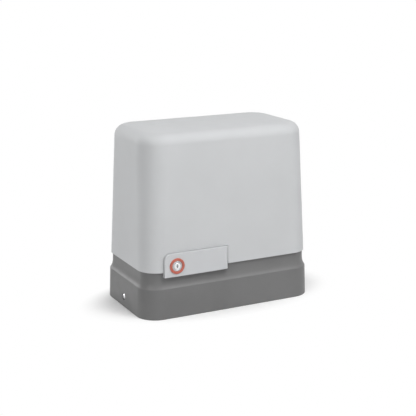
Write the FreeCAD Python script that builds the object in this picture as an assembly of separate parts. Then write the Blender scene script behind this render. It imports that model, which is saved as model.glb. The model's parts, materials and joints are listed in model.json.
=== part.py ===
"""Sliding gate motor, modelled as separate pieces.

Millimetres.  Origin at the centre of the base underside, +X along the length,
+Y towards the gate (the pinion side), +Z up.  The front face, with the manual
release lever, looks towards -Y.  Each piece is written to parts/NODE.step.
"""
import FreeCAD, Part
import math
import os

from FreeCAD import Vector as V

os.makedirs("parts", exist_ok=True)

# ------------------------------------------------------------------ base
base_length = 310.0
base_depth = 176.4
base_corner_r = 33.6
ridge_z = 49.1            # height of the widest moulded ridge
base_draft = 1.8          # inset of the skirt at the ridge
cove_inset = 3.4          # how far the cove runs in above the ridge
cove_power = 2.6          # shape of the cove, steeper near the ridge
shoulder_z = 76.0         # top of the base wall, under the cover
rim_height = 8.0          # locating rim inside the cover
rim_thickness = 1.6
rim_gap = 0.8             # between the rim and the cover's inner face
floor_thickness = 6.0
base_wall = 4.0           # wall thickness at the waist

# ----------------------------------------------------------------- cover
cover_seat_gap = 0.3      # between the cover's lower edge and the base
cover_overhang = 1.5      # cover lip beyond the waist of the base
cover_height = 217.6      # lower edge to the top
cover_taper_x = 0.0301    # inset per millimetre of height
cover_taper_y = 0.0319
cover_corner_low = 32.5
cover_corner_top = 39.2
cover_top_fillet = 18.5
cover_wall = 3.0
cover_gap = 0.5           # gap between the cover and the release lever

# ---------------------------------------------------------- output shaft
drive_x = -12.6
drive_z = 88.5
hub_r = 33.0
hub_end_y = 86.0
hub_bore_r = 18.0
hub_clearance = 1.2       # between the hub and the walls round it
shaft_r = 12.5            # rear journal, under the pinion and the bearing
shaft_mid_r = 11.0        # under the worm wheel
shaft_front_r = 10.0      # front journal
shaft_front_y = -52.0
shaft_rear_y = 124.0
press_gap = 0.02          # radial, bearing outer ring in its seat
run_gap = 0.05            # radial, running fits

# -------------------------------------------------------------- worm gear
worm_module = 2.5
wheel_teeth = 30
worm_pitch_r = 12.5
wheel_face = 20.0
wheel_mid_y = 8.0
tooth_backlash = 0.6      # shared by the worm thread and the wheel gap
pressure_angle = 20.0
worm_turns = 6
worm_shaft_r = 7.5

# ----------------------------------------------------------- gearbox case
case_wall = 5.0
wheel_room = 4.0          # between the wheel's tips and the chamber wall
worm_room = 2.0
case_front_y = -36.0
case_flange_r = 55.0
case_flange_t = 6.0
gasket_t = 0.5
front_plate_t = 6.0
foot_z = 10.0
foot_t = 8.0
foot_bolt_r = 4.0

# ------------------------------------------------------------------ motor
stator_r = 52.0
stator_bore_r = 28.5
stator_z = 163.0
stator_stack = 60.0
air_gap = 0.5
motor_flange_z = 145.0
motor_flange_t = 8.0
motor_rim_t = 4.0
winding_height = 11.0
end_shield_t = 10.0
tie_bolt_r = 2.5
tie_circle_r = 45.0

# ----------------------------------------------------------------- pinion
pinion_module = 4.0
pinion_teeth = 16
pinion_face = 30.0
pinion_y = 92.0
pinion_hub_r = 24.0
key_width = 8.0
key_height = 7.0

# --------------------------------------------------- release lever and lock
lever_left_x = -120.0
lever_right_x = -6.6
lever_bottom_z = 68.7
lever_top_z = 106.0
lever_front_y = -88.5
lever_thickness = 8.0
lever_corner_r = 10.0
knuckle_r = 6.0
hinge_pin_r = 1.25
ear_r = 3.0
ear_thickness = 4.0
ear_gap = 0.3
roller_pin_r = 1.0
roller_left = 2.2         # roller pin, to the left of the hinge axis
roller_back = 2.8         # roller pin, behind the hinge axis
release_travel = 5.0      # = roller_left + roller_back
yoke_thickness = 3.0
rod_r = 4.0
lock_x = -99.0
lock_z = 86.0
lock_body_r = 8.6
lock_barrel_r = 5.5
bezel_r = 12.8
bezel_proud = 1.6
tongue_reach = 26.0
keeper_y = -68.5
keeper_z = 66.0

# ------------------------------------------------------------ electronics
board_share = 0.284       # board width, as a share of the base length
board_end_gap = 5.8       # between the board and the base's end wall
board_z0 = 92.0
board_z1 = 208.0
board_y = -35.0
board_t = 1.6
standoff = 3.0
panel_t = 3.0

# ----------------------------------------------------------- limit switch
switch_x = drive_x
switch_y0 = 56.0
switch_y1 = 77.0
switch_z0 = 124.0
switch_z1 = 158.0
wand_shaft_r = 4.0
wand_hub_y = 90.0
wand_hub_t = 9.0
wand_top_z = 212.0
wand_coil_r = 4.2

# ------------------------------------------------------------ foundations
anchor_inset = 30.0       # slots, in from the ends of the base
anchor_y = 55.0
slot_width = 10.0
slot_length = 22.0
level_inset = 57.0        # levelling screws, in from the ends
level_y = 60.0
level_r = 5.0
end_screw_z = 17.4
end_screw_head_r = 4.2
end_screw_r = 2.5

# ----------------------------------------------------------- derived sizes
half_l = base_length / 2
half_d = base_depth / 2
anchor_x = half_l - anchor_inset
level_x = half_l - level_inset
waist_l = half_l - base_draft - cove_inset
waist_d = half_d - base_draft - cove_inset
inner_l = waist_l - base_wall
inner_d = waist_d - base_wall
rim_corner = cover_corner_low - cover_wall - rim_gap
inner_corner = rim_corner - rim_thickness
cover_z = shoulder_z + cover_seat_gap
cover_top_z = cover_z + cover_height
cover_l = waist_l + cover_overhang
cover_d = waist_d + cover_overhang
pivot_x = lever_right_x - knuckle_r
pivot_y = lever_front_y + knuckle_r
lever_back_y = lever_front_y + lever_thickness
wheel_pitch_r = worm_module * wheel_teeth / 2
wheel_tip_r = wheel_pitch_r + worm_module
worm_tip_r = worm_pitch_r + worm_module
centre_distance = wheel_pitch_r + worm_pitch_r
worm_x = drive_x - centre_distance
worm_y = wheel_mid_y
worm_pitch = math.pi * worm_module
worm_thread_length = worm_turns * worm_pitch
chamber_r = wheel_tip_r + wheel_room
worm_bore_r = worm_tip_r + worm_room
case_rear_y = wheel_mid_y + wheel_face / 2 + 2.0
stator_top_z = stator_z + stator_stack
shield_z = stator_top_z + winding_height + 2.0
motor_top_z = shield_z + end_shield_t
wheel_front_y = wheel_mid_y - wheel_face / 2
board_width = board_share * base_length
board_x1 = inner_l - board_end_gap
board_x0 = board_x1 - board_width


# ---------------------------------------------------------------- helpers
def box(x0, x1, y0, y1, z0, z1):
    return Part.makeBox(x1 - x0, y1 - y0, z1 - z0, V(x0, y0, z0))


def cyl_x(r, x0, x1, y, z):
    return Part.makeCylinder(r, x1 - x0, V(x0, y, z), V(1, 0, 0))


def cyl_y(r, y0, y1, x, z):
    return Part.makeCylinder(r, y1 - y0, V(x, y0, z), V(0, 1, 0))


def cyl_z(r, z0, z1, x, y):
    return Part.makeCylinder(r, z1 - z0, V(x, y, z0), V(0, 0, 1))


def ring_y(r_out, r_in, y0, y1, x, z):
    return cyl_y(r_out, y0, y1, x, z).cut(cyl_y(r_in, y0 - 1, y1 + 1, x, z))


def ring_z(r_out, r_in, z0, z1, x, y):
    return cyl_z(r_out, z0, z1, x, y).cut(cyl_z(r_in, z0 - 1, z1 + 1, x, y))


def fuse(shapes):
    result = shapes[0]
    for shape in shapes[1:]:
        result = result.fuse(shape).removeSplitter()
    return result


def outline(half_x, half_y, r, z):
    """Rounded rectangle, as a wire of four lines and four arcs."""
    edges = []
    corners = [(1, -1, -90), (1, 1, 0), (-1, 1, 90), (-1, -1, 180)]
    points = []
    for sx, sy, start in corners:
        cx = sx * (half_x - r)
        cy = sy * (half_y - r)
        arc = []
        for turn in (0, 45, 90):
            a = math.radians(start + turn)
            arc.append(V(cx + r * math.cos(a), cy + r * math.sin(a), z))
        points.append(arc)
    for i in range(4):
        edges.append(Part.Arc(*points[i]).toShape())
        edges.append(Part.makeLine(points[i][2], points[(i + 1) % 4][0]))
    return Part.Wire(edges)


def prism(half_x, half_y, r, z0, z1):
    face = Part.Face(outline(half_x, half_y, r, z0))
    return face.extrude(V(0, 0, z1 - z0))


def edges_at(shape, test):
    return [e for e in shape.Edges if all(test(v.Point) for v in e.Vertexes)]


def soften(shape, radius, test):
    """Fillet the edges whose end points all pass the test."""
    return shape.makeFillet(radius, edges_at(shape, test))


def hexagon_z(across, z0, z1, x, y):
    r = across / math.sqrt(3)
    pts = [V(x + r * math.cos(math.radians(60 * i)),
             y + r * math.sin(math.radians(60 * i)), z0) for i in range(7)]
    return Part.Face(Part.makePolygon(pts)).extrude(V(0, 0, z1 - z0))


def turned(shape, x, y, z, axis, angle):
    copy = shape.copy()
    copy.rotate(V(x, y, z), axis, angle)
    return copy


def around_y(shape, count, x, z, start=0.0):
    axis = V(0, 1, 0)
    return [turned(shape, x, 0, z, axis, start + 360.0 * i / count)
            for i in range(count)]


def around_z(shape, count, x, y, start=0.0):
    axis = V(0, 0, 1)
    return [turned(shape, x, y, 0, axis, start + 360.0 * i / count)
            for i in range(count)]


def save(name, shapes):
    if not isinstance(shapes, list):
        shapes = [shapes]
    solids = []
    for shape in shapes:
        solids.extend(shape.Solids)
    result = solids[0] if len(solids) == 1 else Part.makeCompound(solids)
    result.exportStep("parts/" + name + ".step")


# ------------------------------------------------------------------- base
def cove_section(share):
    """Outline of the base part of the way up the cove."""
    inset = base_draft + cove_inset * (1 - (1 - share) ** cove_power)
    z = ridge_z + share * (shoulder_z - ridge_z)
    return outline(half_l - inset, half_d - inset, base_corner_r - inset, z)


def base_shell():
    foot = outline(half_l, half_d, base_corner_r, 0)
    skirt = Part.makeLoft([foot, cove_section(0)], True, True)
    shares = (0, 0.12, 0.3, 0.6, 1)
    cove = Part.makeLoft([cove_section(s) for s in shares], True, False)
    rim_l = cover_l - cover_wall - rim_gap
    rim_d = cover_d - cover_wall - rim_gap
    rim = prism(rim_l, rim_d, rim_corner, shoulder_z, shoulder_z + rim_height)
    outer = fuse([skirt, cove, rim])
    hollow = prism(inner_l, inner_d, inner_corner,
                   floor_thickness, shoulder_z + rim_height + 1)
    return outer.cut(hollow)


def slot_hole(x, y, length, width, z0, z1):
    r = width / 2
    run = length / 2 - r
    return fuse([box(x - run, x + run, y - r, y + r, z0, z1),
                 cyl_z(r, z0, z1, x - run, y),
                 cyl_z(r, z0, z1, x + run, y)])


foot_bolts = [(-84.0, -26.0), (-84.0, 28.0), (36.0, -26.0), (36.0, 28.0)]
cable_x0 = board_x0 + 10.0
cable_x1 = board_x1 - 22.0
cable_y0, cable_y1 = -2.0, 36.0
boss_x = inner_l - 3.8
tab_t = 3.0
bracket_half = 9.0
bracket_screw_z = 54.0
panel_screws = [(board_x0 + 14, -18.0), (board_x1 - 14, -18.0)]


def base_housing():
    body = base_shell()
    inside = floor_thickness
    adds = []
    for sx in (-1, 1):
        for sy in (-1, 1):
            adds.append(slot_hole(sx * anchor_x, sy * anchor_y, slot_length + 14,
                                  slot_width + 14, inside - 1, inside + 2))
            adds.append(cyl_z(level_r + 5, inside - 1, inside + 8,
                              sx * level_x, sy * level_y))
        adds.append(box(min(sx * boss_x, sx * (boss_x - 8)),
                        max(sx * boss_x, sx * (boss_x - 8)),
                        -8, 8, inside - 1, end_screw_z + 9))
    for x, y in foot_bolts:
        adds.append(cyl_z(12, inside - 1, foot_z, x, y))
    for x, y in panel_screws:
        adds.append(cyl_z(6, inside - 1, foot_z, x, y))
    adds.append(box(cable_x0 - 4, cable_x1 + 4, cable_y0 - 4, cable_y1 + 4,
                    inside - 1, inside + 8))
    adds.append(box(lock_x - 13, lock_x + 13, -inner_d - 1, keeper_y,
                    inside - 1, keeper_z))
    for x in (-60, 60):
        adds.append(box(x - 2, x + 2, inner_d - 6, inner_d + 1,
                        inside - 1, shoulder_z - 14))
    body = fuse([body] + adds)
    cuts = []
    for sx in (-1, 1):
        for sy in (-1, 1):
            cuts.append(slot_hole(sx * anchor_x, sy * anchor_y, slot_length,
                                  slot_width, -1, inside + 3))
            cuts.append(cyl_z(level_r + run_gap, -1, inside + 9,
                              sx * level_x, sy * level_y))
        x_out = sx * (half_l + 1)
        x_in = sx * (boss_x - 9)
        cuts.append(cyl_x(end_screw_r + run_gap, min(x_out, x_in),
                          max(x_out, x_in), 0, end_screw_z))
        x_seat = sx * (half_l - 2.8)
        cuts.append(cyl_x(end_screw_head_r + 1.6, min(x_out, x_seat),
                          max(x_out, x_seat), 0, end_screw_z))
    for x, y in foot_bolts:
        cuts.append(cyl_z(foot_bolt_r + run_gap, 1.5, foot_z + 1, x, y))
    for x, y in panel_screws:
        cuts.append(cyl_z(2 + run_gap, 1.5, foot_z + 1, x, y))
    cuts.append(box(cable_x0, cable_x1, cable_y0, cable_y1, -1, inside + 9))
    # room for the release lever in the front wall
    cuts.append(box(lever_left_x - cover_gap, lever_right_x + cover_gap,
                    -half_d - 1, -inner_d + 1,
                    lever_bottom_z - cover_gap, shoulder_z + rim_height + 1))
    # saddle for the hub in the rear wall
    cuts.append(cyl_y(hub_r + hub_clearance, inner_d - 1, half_d + 1,
                      drive_x, drive_z))
    # screws of the lever's hinge bracket, from inside
    for dx in (-5, 5):
        cuts.append(cyl_y(1.5 + run_gap, -inner_d - 3.0, -inner_d + 1,
                          pivot_x + dx, bracket_screw_z))
    for cut in cuts:
        body = body.cut(cut)
    save("base_housing", body.removeSplitter())


def levelling_screws():
    screws = []
    for sx in (-1, 1):
        for sy in (-1, 1):
            x = sx * level_x
            y = sy * level_y
            screw = cyl_z(level_r, 0.3, 26, x, y)
            screws.append(screw.cut(box(x - 6, x + 6, y - 0.8, y + 0.8, 23.5, 27)))
    save("levelling_screws", screws)


def cover_end_screws():
    screws = []
    seat = half_l - 2.8
    for sx in (-1, 1):
        head = cyl_x(end_screw_head_r, seat, seat + 2.6, 0, end_screw_z)
        head = head.fuse(cyl_x(end_screw_r, boss_x - 7, seat, 0, end_screw_z))
        head = head.cut(box(seat + 1.5, seat + 3, -5, 5,
                            end_screw_z - 0.6, end_screw_z + 0.6))
        if sx < 0:
            head.rotate(V(0, 0, 0), V(0, 0, 1), 180)
        screws.append(head)
    save("cover_end_screws", screws)


# ------------------------------------------------------------------ cover
def cover_solid(inset, z0, z1, top_fillet):
    """The cover's outer form, or its inner one, drawn in by the wall."""
    def section(z):
        rise = z - cover_z
        share = rise / cover_height
        r = cover_corner_low + share * (cover_corner_top - cover_corner_low)
        return outline(cover_l - inset - cover_taper_x * rise,
                       cover_d - inset - cover_taper_y * rise, r - inset, z)
    body = Part.makeLoft([section(z0), section(z1)], True, True)
    return soften(body, top_fillet, lambda p: abs(p.z - z1) < 0.001)


def lever_outline(grow, z_low, z_high, y0, y1, left=lever_left_x, right=lever_right_x):
    """Front outline of the release lever, as a prism along Y."""
    r = lever_corner_r + grow
    x0 = left - grow
    x1 = right + grow
    a = V(x0, y0, z_low)
    b = V(x1, y0, z_low)
    c = V(x1, y0, z_high)
    d = V(x0 + r, y0, z_high)
    e = V(x0, y0, z_high - r)
    bend = r * (1 - math.sqrt(0.5))
    mid = V(x0 + bend, y0, z_high - bend)
    wire = Part.Wire([Part.makeLine(a, b), Part.makeLine(b, c),
                      Part.makeLine(c, d), Part.Arc(d, mid, e).toShape(),
                      Part.makeLine(e, a)])
    return Part.Face(wire).extrude(V(0, y1 - y0, 0))


def cover():
    shell = cover_solid(0, cover_z, cover_top_z, cover_top_fillet)
    hollow = cover_solid(cover_wall, cover_z - 2, cover_top_z - cover_wall,
                         cover_top_fillet - cover_wall)
    shell = shell.cut(hollow)
    top = lever_top_z + cover_gap
    shell = shell.cut(lever_outline(cover_gap, cover_z - 3, top,
                                    -cover_d - 2, -cover_d + 12))
    arch_r = hub_r + hub_clearance
    y0 = cover_d - 14
    y1 = cover_d + 2
    shell = shell.cut(cyl_y(arch_r, y0, y1, drive_x, drive_z))
    shell = shell.cut(box(drive_x - arch_r, drive_x + arch_r, y0, y1,
                          cover_z - 3, drive_z))
    slot = wand_shaft_r + 2
    wand_z = (switch_z0 + switch_z1) / 2
    shell = shell.cut(box(switch_x - slot, switch_x + slot, y0, y1,
                          drive_z, wand_z))
    shell = shell.cut(cyl_y(slot, y0, y1, switch_x, wand_z))
    # end tabs that drop behind the base's end walls, forked over the screws
    tabs = []
    tab_x1 = inner_l - 0.4
    tab_x0 = tab_x1 - tab_t
    tab_top = shoulder_z + rim_height + 30
    for sx in (-1, 1):
        tab = box(tab_x0, tab_x1, -10, 10, floor_thickness + 4, tab_top)
        rib = box(tab_x0, cover_l - cover_wall + 0.2 - cover_taper_x * 30, -10, 10,
                  shoulder_z + rim_height + 2, tab_top)
        tab = tab.fuse(rib)
        slit = box(tab_x0 - 1, tab_x1 + 1, -end_screw_r - 0.5, end_screw_r + 0.5,
                   0, end_screw_z)
        slit = slit.fuse(cyl_x(end_screw_r + 0.5, tab_x0 - 1, tab_x1 + 1,
                               0, end_screw_z))
        tab = tab.cut(slit)
        if sx < 0:
            tab.rotate(V(0, 0, 0), V(0, 0, 1), 180)
        tabs.append(tab)
    save("cover", fuse([shell.Solids[0]] + tabs))


# ------------------------------------------------- release lever and its lock
ear_bottoms = (lever_bottom_z + 8.0, lever_top_z - 12.0)
yoke_z = drive_z


def release_lever():
    r_end = pivot_x
    bar = lever_outline(0, lever_bottom_z, lever_top_z, lever_front_y,
                        lever_back_y, lever_left_x, r_end)
    bar = soften(bar, 0.8, lambda p: abs(p.y - lever_front_y) < 0.001
                 and p.x < r_end - 1)
    knuckle = cyl_z(knuckle_r, lever_bottom_z, lever_top_z, pivot_x, pivot_y)
    body = fuse([bar, knuckle])
    # hollow back, as moulded
    pocket = box(lever_left_x + 4, lock_x - lock_body_r - 4, lever_back_y - 5,
                 lever_back_y + 1, lever_bottom_z + 4, lever_top_z - 12)
    pocket_b = box(lock_x + lock_body_r + 4, pivot_x - 16, lever_back_y - 5,
                   lever_back_y + 1, lever_bottom_z + 4, lever_top_z - 4)
    body = body.cut(pocket).cut(pocket_b)
    # slots for the hinge ears: the ears sweep from the back to the right
    clear = ear_r + ear_gap
    for z in ear_bottoms:
        z0 = z - ear_gap
        z1 = z + ear_thickness + ear_gap
        body = body.cut(cyl_z(clear, z0, z1, pivot_x, pivot_y))
        body = body.cut(box(pivot_x - clear, pivot_x + knuckle_r + 1,
                            pivot_y - 0.001, pivot_y + knuckle_r + 1, z0, z1))
        body = body.cut(box(pivot_x, pivot_x + knuckle_r + 1,
                            pivot_y - clear, pivot_y + 1, z0, z1))
    # window for the yoke's hook
    half = yoke_thickness / 2 + ear_gap
    body = body.cut(box(pivot_x - 9.2, pivot_x + knuckle_r + 1, pivot_y - 1.8,
                        pivot_y + knuckle_r + 1, yoke_z - half, yoke_z + half))
    body = body.cut(cyl_z(hinge_pin_r + run_gap, lever_bottom_z + 2,
                          lever_top_z + 1, pivot_x, pivot_y))
    body = body.cut(cyl_z(roller_pin_r + press_gap, yoke_z - 5, yoke_z + 5,
                          pivot_x - roller_left, pivot_y + roller_back))
    body = body.cut(cyl_y(lock_body_r + press_gap, lever_front_y - 1,
                          lever_back_y + 1, lock_x, lock_z))
    save("release_lever", body)


def lever_pins():
    pin = cyl_z(hinge_pin_r, lever_bottom_z + 2.3, lever_top_z - 2, pivot_x, pivot_y)
    save("lever_hinge_pin", pin)
    pin = cyl_z(roller_pin_r, yoke_z - 4.8, yoke_z + 4.8,
                pivot_x - roller_left, pivot_y + roller_back)
    save("lever_roller_pin", pin)


def lever_hinge_bracket():
    web_y0 = pivot_y + knuckle_r + 0.7
    web_y1 = web_y0 + 3.3
    x0 = pivot_x - bracket_half
    x1 = pivot_x + bracket_half
    web = box(x0, x1, web_y0, web_y1, 44, lever_top_z - 5)
    foot = box(x0, x1, -inner_d, web_y1, 44, lever_bottom_z - 1)
    parts = [web, foot]
    for z in ear_bottoms:
        parts.append(box(pivot_x - ear_r, pivot_x + ear_r, pivot_y, web_y0 + 1,
                         z, z + ear_thickness))
        parts.append(cyl_z(ear_r, z, z + ear_thickness, pivot_x, pivot_y))
    body = fuse(parts)
    body = body.cut(cyl_z(hinge_pin_r + run_gap, 60, 110, pivot_x, pivot_y))
    body = body.cut(box(pivot_x - 9.5, pivot_x + 6, web_y0 - 1, web_y1 + 1,
                        yoke_z - 4.5, yoke_z + 4.5))
    for dx in (-5, 5):
        body = body.cut(cyl_y(1.5 + run_gap, -inner_d - 1, web_y1 + 1,
                              pivot_x + dx, bracket_screw_z))
    save("lever_hinge_bracket", body)
    screws = []
    for dx in (-5, 5):
        x = pivot_x + dx
        screw = cyl_y(1.5, -inner_d - 2.8, web_y1, x, bracket_screw_z)
        screws.append(screw.fuse(cyl_y(2.8, web_y1, web_y1 + 2, x, bracket_screw_z)))
    save("bracket_screws", screws)


def release_yoke():
    """Hook round the roller pin, carried by a ring on the release rod."""
    z0 = yoke_z - yoke_thickness / 2
    z1 = yoke_z + yoke_thickness / 2
    wall_back = pivot_y + roller_back - roller_pin_r - 0.6
    arm_x1 = pivot_x - 5.3
    arm_x0 = pivot_x - 8.6
    ring_y1 = -58.0
    ring_y0 = -66.0
    hook = box(arm_x0, pivot_x - hinge_pin_r - 0.4, wall_back - 2, wall_back, z0, z1)
    arm = box(arm_x0, arm_x1, wall_back - 2, ring_y1, z0, z1)
    bridge = box(arm_x0, drive_x, ring_y0, ring_y1, z0, z1)
    ring = cyl_y(8.0, ring_y0, ring_y1, drive_x, drive_z)
    body = fuse([hook, arm, bridge, ring])
    body = body.cut(cyl_y(rod_r - 0.8 + 0.1, ring_y0 - 1, ring_y1 + 1,
                          drive_x, drive_z))
    save("release_yoke", body)


def lock():
    front = lever_front_y - 1.0
    body = ring_y(lock_body_r, lock_barrel_r + run_gap, front, keeper_y - 0.2,
                  lock_x, lock_z)
    save("lock_body", body)
    front_face = lever_front_y - bezel_proud
    ring = ring_y(bezel_r, lock_body_r + 0.1, front_face, lever_front_y, lock_x, lock_z)
    ring = ring.makeChamfer(0.6, edges_at(ring, lambda p: p.y < front_face + 0.001))
    save("lock_bezel_ring", ring)
    back = keeper_y + 0.3
    barrel = cyl_y(lock_barrel_r, front - 0.3, back, lock_x, lock_z)
    barrel = barrel.fuse(box(lock_x - 2, lock_x + 2, back, back + 4,
                             lock_z - 2, lock_z + 2))
    barrel = barrel.cut(box(lock_x - 0.7, lock_x + 0.7, front - 1, front + 9,
                            lock_z - 3.4, lock_z + 3.4))
    save("lock_barrel", barrel)
    tongue = box(lock_x - 4.5, lock_x + tongue_reach - 4.5, back, back + 3,
                 lock_z - 4.5, lock_z + 4.5)
    tongue = tongue.fuse(cyl_y(4.5, back, back + 3, lock_x + tongue_reach - 4.5, lock_z))
    tongue = tongue.cut(box(lock_x - 2.02, lock_x + 2.02, back - 1, back + 5,
                            lock_z - 2.02, lock_z + 2.02))
    save("lock_tongue", tongue.removeSplitter())


# ---------------------------------------------------------- gearbox case
bearing_rear = (12.5, 26.0, 15.0)      # bore radius, outer radius, width
bearing_front = (10.0, 21.0, 12.0)
bearing_low = (6.0, 16.0, 10.0)
bearing_high = (7.5, 17.5, 11.0)
bearing_top = (6.0, 16.0, 10.0)
rear_bearing_y = 62.0
front_bearing_y = -50.5
low_bearing_z = 38.0
high_bearing_z = 122.0
top_bearing_z = shield_z
cover_bolt_r = 2.5
cover_bolt_circle = 50.0
seal_width = 7.0


def gearbox_case():
    x, z = drive_x, drive_z
    chamber_out = chamber_r + case_wall
    worm_out = worm_bore_r + case_wall
    parts = [
        cyl_y(chamber_out, case_front_y, case_rear_y + case_wall, x, z),
        cyl_y(case_flange_r, case_front_y, case_front_y + case_flange_t, x, z),
        cyl_y(hub_r, case_rear_y, hub_end_y, x, z),
        cyl_z(worm_out, low_bearing_z - 4, motor_flange_z, worm_x, worm_y),
        cyl_z(stator_r + motor_rim_t, motor_flange_z, motor_flange_z + motor_flange_t,
              worm_x, worm_y),
        box(-94, 46, -36, 38, foot_z, foot_z + foot_t),
        box(worm_x - 20, worm_x + 20, worm_y - 16, worm_y + 16,
            foot_z + foot_t, low_bearing_z),
        box(x - 30, x + 30, case_front_y + case_flange_t, case_rear_y + case_wall,
            foot_z + foot_t, z - 20),
        box(worm_x, x, worm_y - 14, worm_y + 14, high_bearing_z - 2, motor_flange_z),
        box(switch_x - 17, switch_x + 17, switch_y0 - 6, switch_y1,
            z + 10, switch_z0),
    ]
    # ribs under the hub and beside the worm housing
    for dx in (-18, 18):
        parts.append(box(x + dx - 2, x + dx + 2, case_rear_y + case_wall - 1, 38,
                         foot_z + foot_t - 1, z - 20))
    parts.append(box(-90, worm_x - 10, worm_y - 2, worm_y + 2,
                     foot_z + foot_t - 1, high_bearing_z - 20))
    body = fuse(parts)
    # rim that centres the stator stack
    rim = ring_z(stator_r + motor_rim_t, stator_r - 4, motor_flange_z,
                 stator_z, worm_x, worm_y)
    body = body.fuse(rim).removeSplitter()
    cuts = [
        cyl_y(chamber_r, case_front_y - 1, case_rear_y, x, z),
        cyl_y(hub_bore_r, case_rear_y - 1, hub_end_y + 1, x, z),
        cyl_y(bearing_rear[1] + press_gap, rear_bearing_y, hub_end_y + 1, x, z),
        cyl_z(worm_bore_r, low_bearing_z + 1, high_bearing_z, worm_x, worm_y),
        cyl_z(bearing_low[1] + press_gap, low_bearing_z,
              low_bearing_z + bearing_low[2], worm_x, worm_y),
        cyl_z(bearing_high[1] + press_gap, high_bearing_z,
              high_bearing_z + bearing_high[2], worm_x, worm_y),
        cyl_z(worm_shaft_r + 2, high_bearing_z, stator_z + 1, worm_x, worm_y),
    ]
    for bx, by in foot_bolts:
        cuts.append(cyl_z(foot_bolt_r + 0.3, foot_z - 1, foot_z + foot_t + 1, bx, by))
        cuts.append(cyl_z(8.0, foot_z + foot_t, foot_z + foot_t + 14, bx, by))
    hole = cyl_y(cover_bolt_r + run_gap, case_front_y - 1, case_front_y + 14,
                 x + cover_bolt_circle, z)
    cuts.extend(around_y(hole, 6, x, z, 30))
    hole = cyl_z(tie_bolt_r + run_gap, motor_flange_z + 0.5, stator_z + 1,
                 worm_x + stator_r, worm_y)
    cuts.extend(around_z(hole, 4, worm_x, worm_y, 45))
    for cut in cuts:
        body = body.cut(cut)
    save("gearbox_case", body)


def gearbox_front():
    x, z = drive_x, drive_z
    plate_back = case_front_y - gasket_t
    plate_front = plate_back - front_plate_t
    boss_front = front_bearing_y - 2.0
    body = fuse([cyl_y(case_flange_r, plate_front, plate_back, x, z),
                 cyl_y(bearing_front[1] + 5, boss_front, plate_front + 1, x, z)])
    rib = box(x - 2, x + 2, boss_front + 3, plate_front + 1, z + bearing_front[1],
              z + cover_bolt_circle + 1)
    body = fuse([body] + around_y(rib, 6, x, z, 30))
    body = body.cut(cyl_y(bearing_front[1] + press_gap, front_bearing_y,
                          plate_back + 1, x, z))
    body = body.cut(cyl_y(shaft_front_r + 1.5, boss_front - 1, plate_back, x, z))
    hole = cyl_y(cover_bolt_r + 0.25, plate_front - 8, plate_back + 1,
                 x + cover_bolt_circle, z)
    for cut in around_y(hole, 6, x, z, 30):
        body = body.cut(cut)
    save("gearbox_front_cover", body)
    gasket = ring_y(case_flange_r, chamber_r, plate_back, case_front_y, x, z)
    for cut in around_y(hole, 6, x, z, 30):
        gasket = gasket.cut(cut)
    save("gearbox_gasket", gasket)
    head = cyl_y(4.25, plate_front - 5, plate_front, x + cover_bolt_circle, z)
    head = head.fuse(cyl_y(cover_bolt_r, plate_front, case_front_y + 12,
                           x + cover_bolt_circle, z))
    head = head.cut(cyl_y(2.0, plate_front - 6, plate_front - 2.5,
                          x + cover_bolt_circle, z))
    save("gearbox_cover_screws", around_y(head, 6, x, z, 30))


def case_bolts():
    bolts = []
    top = foot_z + foot_t
    for x, y in foot_bolts:
        bolt = hexagon_z(13, top + 1.6, top + 7, x, y)
        bolt = bolt.fuse(cyl_z(7.5, top, top + 1.6, x, y))
        bolts.append(bolt.fuse(cyl_z(foot_bolt_r, 1.8, top, x, y)))
    save("case_bolts", bolts)


def bearing_y(size, y0, x, z):
    bore, outer, width = size
    inner_r = bore + (outer - bore) * 0.28
    outer_r = bore + (outer - bore) * 0.72
    body = ring_y(outer, bore + run_gap, y0, y0 + width, x, z)
    for y_a, y_b in ((y0 - 1, y0 + 0.8), (y0 + width - 0.8, y0 + width + 1)):
        body = body.cut(ring_y(outer_r, inner_r, y_a, y_b, x, z))
    return body


def bearing_z(size, z0, x, y):
    body = bearing_y(size, 0, 0, 0)
    body.rotate(V(0, 0, 0), V(1, 0, 0), 90)
    body.translate(V(x, y, z0))
    return body


def bearings():
    save("output_bearing_rear", bearing_y(bearing_rear, rear_bearing_y, drive_x, drive_z))
    save("output_bearing_front", bearing_y(bearing_front, front_bearing_y,
                                           drive_x, drive_z))
    save("worm_bearing_lower", bearing_z(bearing_low, low_bearing_z, worm_x, worm_y))
    save("worm_bearing_upper", bearing_z(bearing_high, high_bearing_z, worm_x, worm_y))
    save("motor_bearing_top", bearing_z(bearing_top, top_bearing_z, worm_x, worm_y))
    seal_y = rear_bearing_y + bearing_rear[2] + 1.5
    seal = ring_y(bearing_rear[1], shaft_r + run_gap, seal_y, seal_y + seal_width,
                  drive_x, drive_z)
    seal = seal.cut(ring_y(bearing_rear[1] - 5, shaft_r + 2.5, seal_y + 2,
                           seal_y + seal_width + 1, drive_x, drive_z))
    save("output_oil_seal", seal)


# ---------------------------------------------------------------- worm gear
def worm_profile(z_mid):
    """Trapezoid of the worm's thread in its axial plane."""
    slope = math.tan(math.radians(pressure_angle))
    width = worm_pitch / 2 - tooth_backlash / 2
    r_in = worm_pitch_r - 1.2 * worm_module
    r_out = worm_tip_r
    half_in = width / 2 + (worm_pitch_r - r_in) * slope
    half_out = width / 2 - (r_out - worm_pitch_r) * slope
    pts = [V(r_in - 0.3, 0, z_mid - half_in), V(r_out, 0, z_mid - half_out),
           V(r_out, 0, z_mid + half_out), V(r_in - 0.3, 0, z_mid + half_in)]
    return Part.makePolygon(pts + pts[:1])


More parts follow.
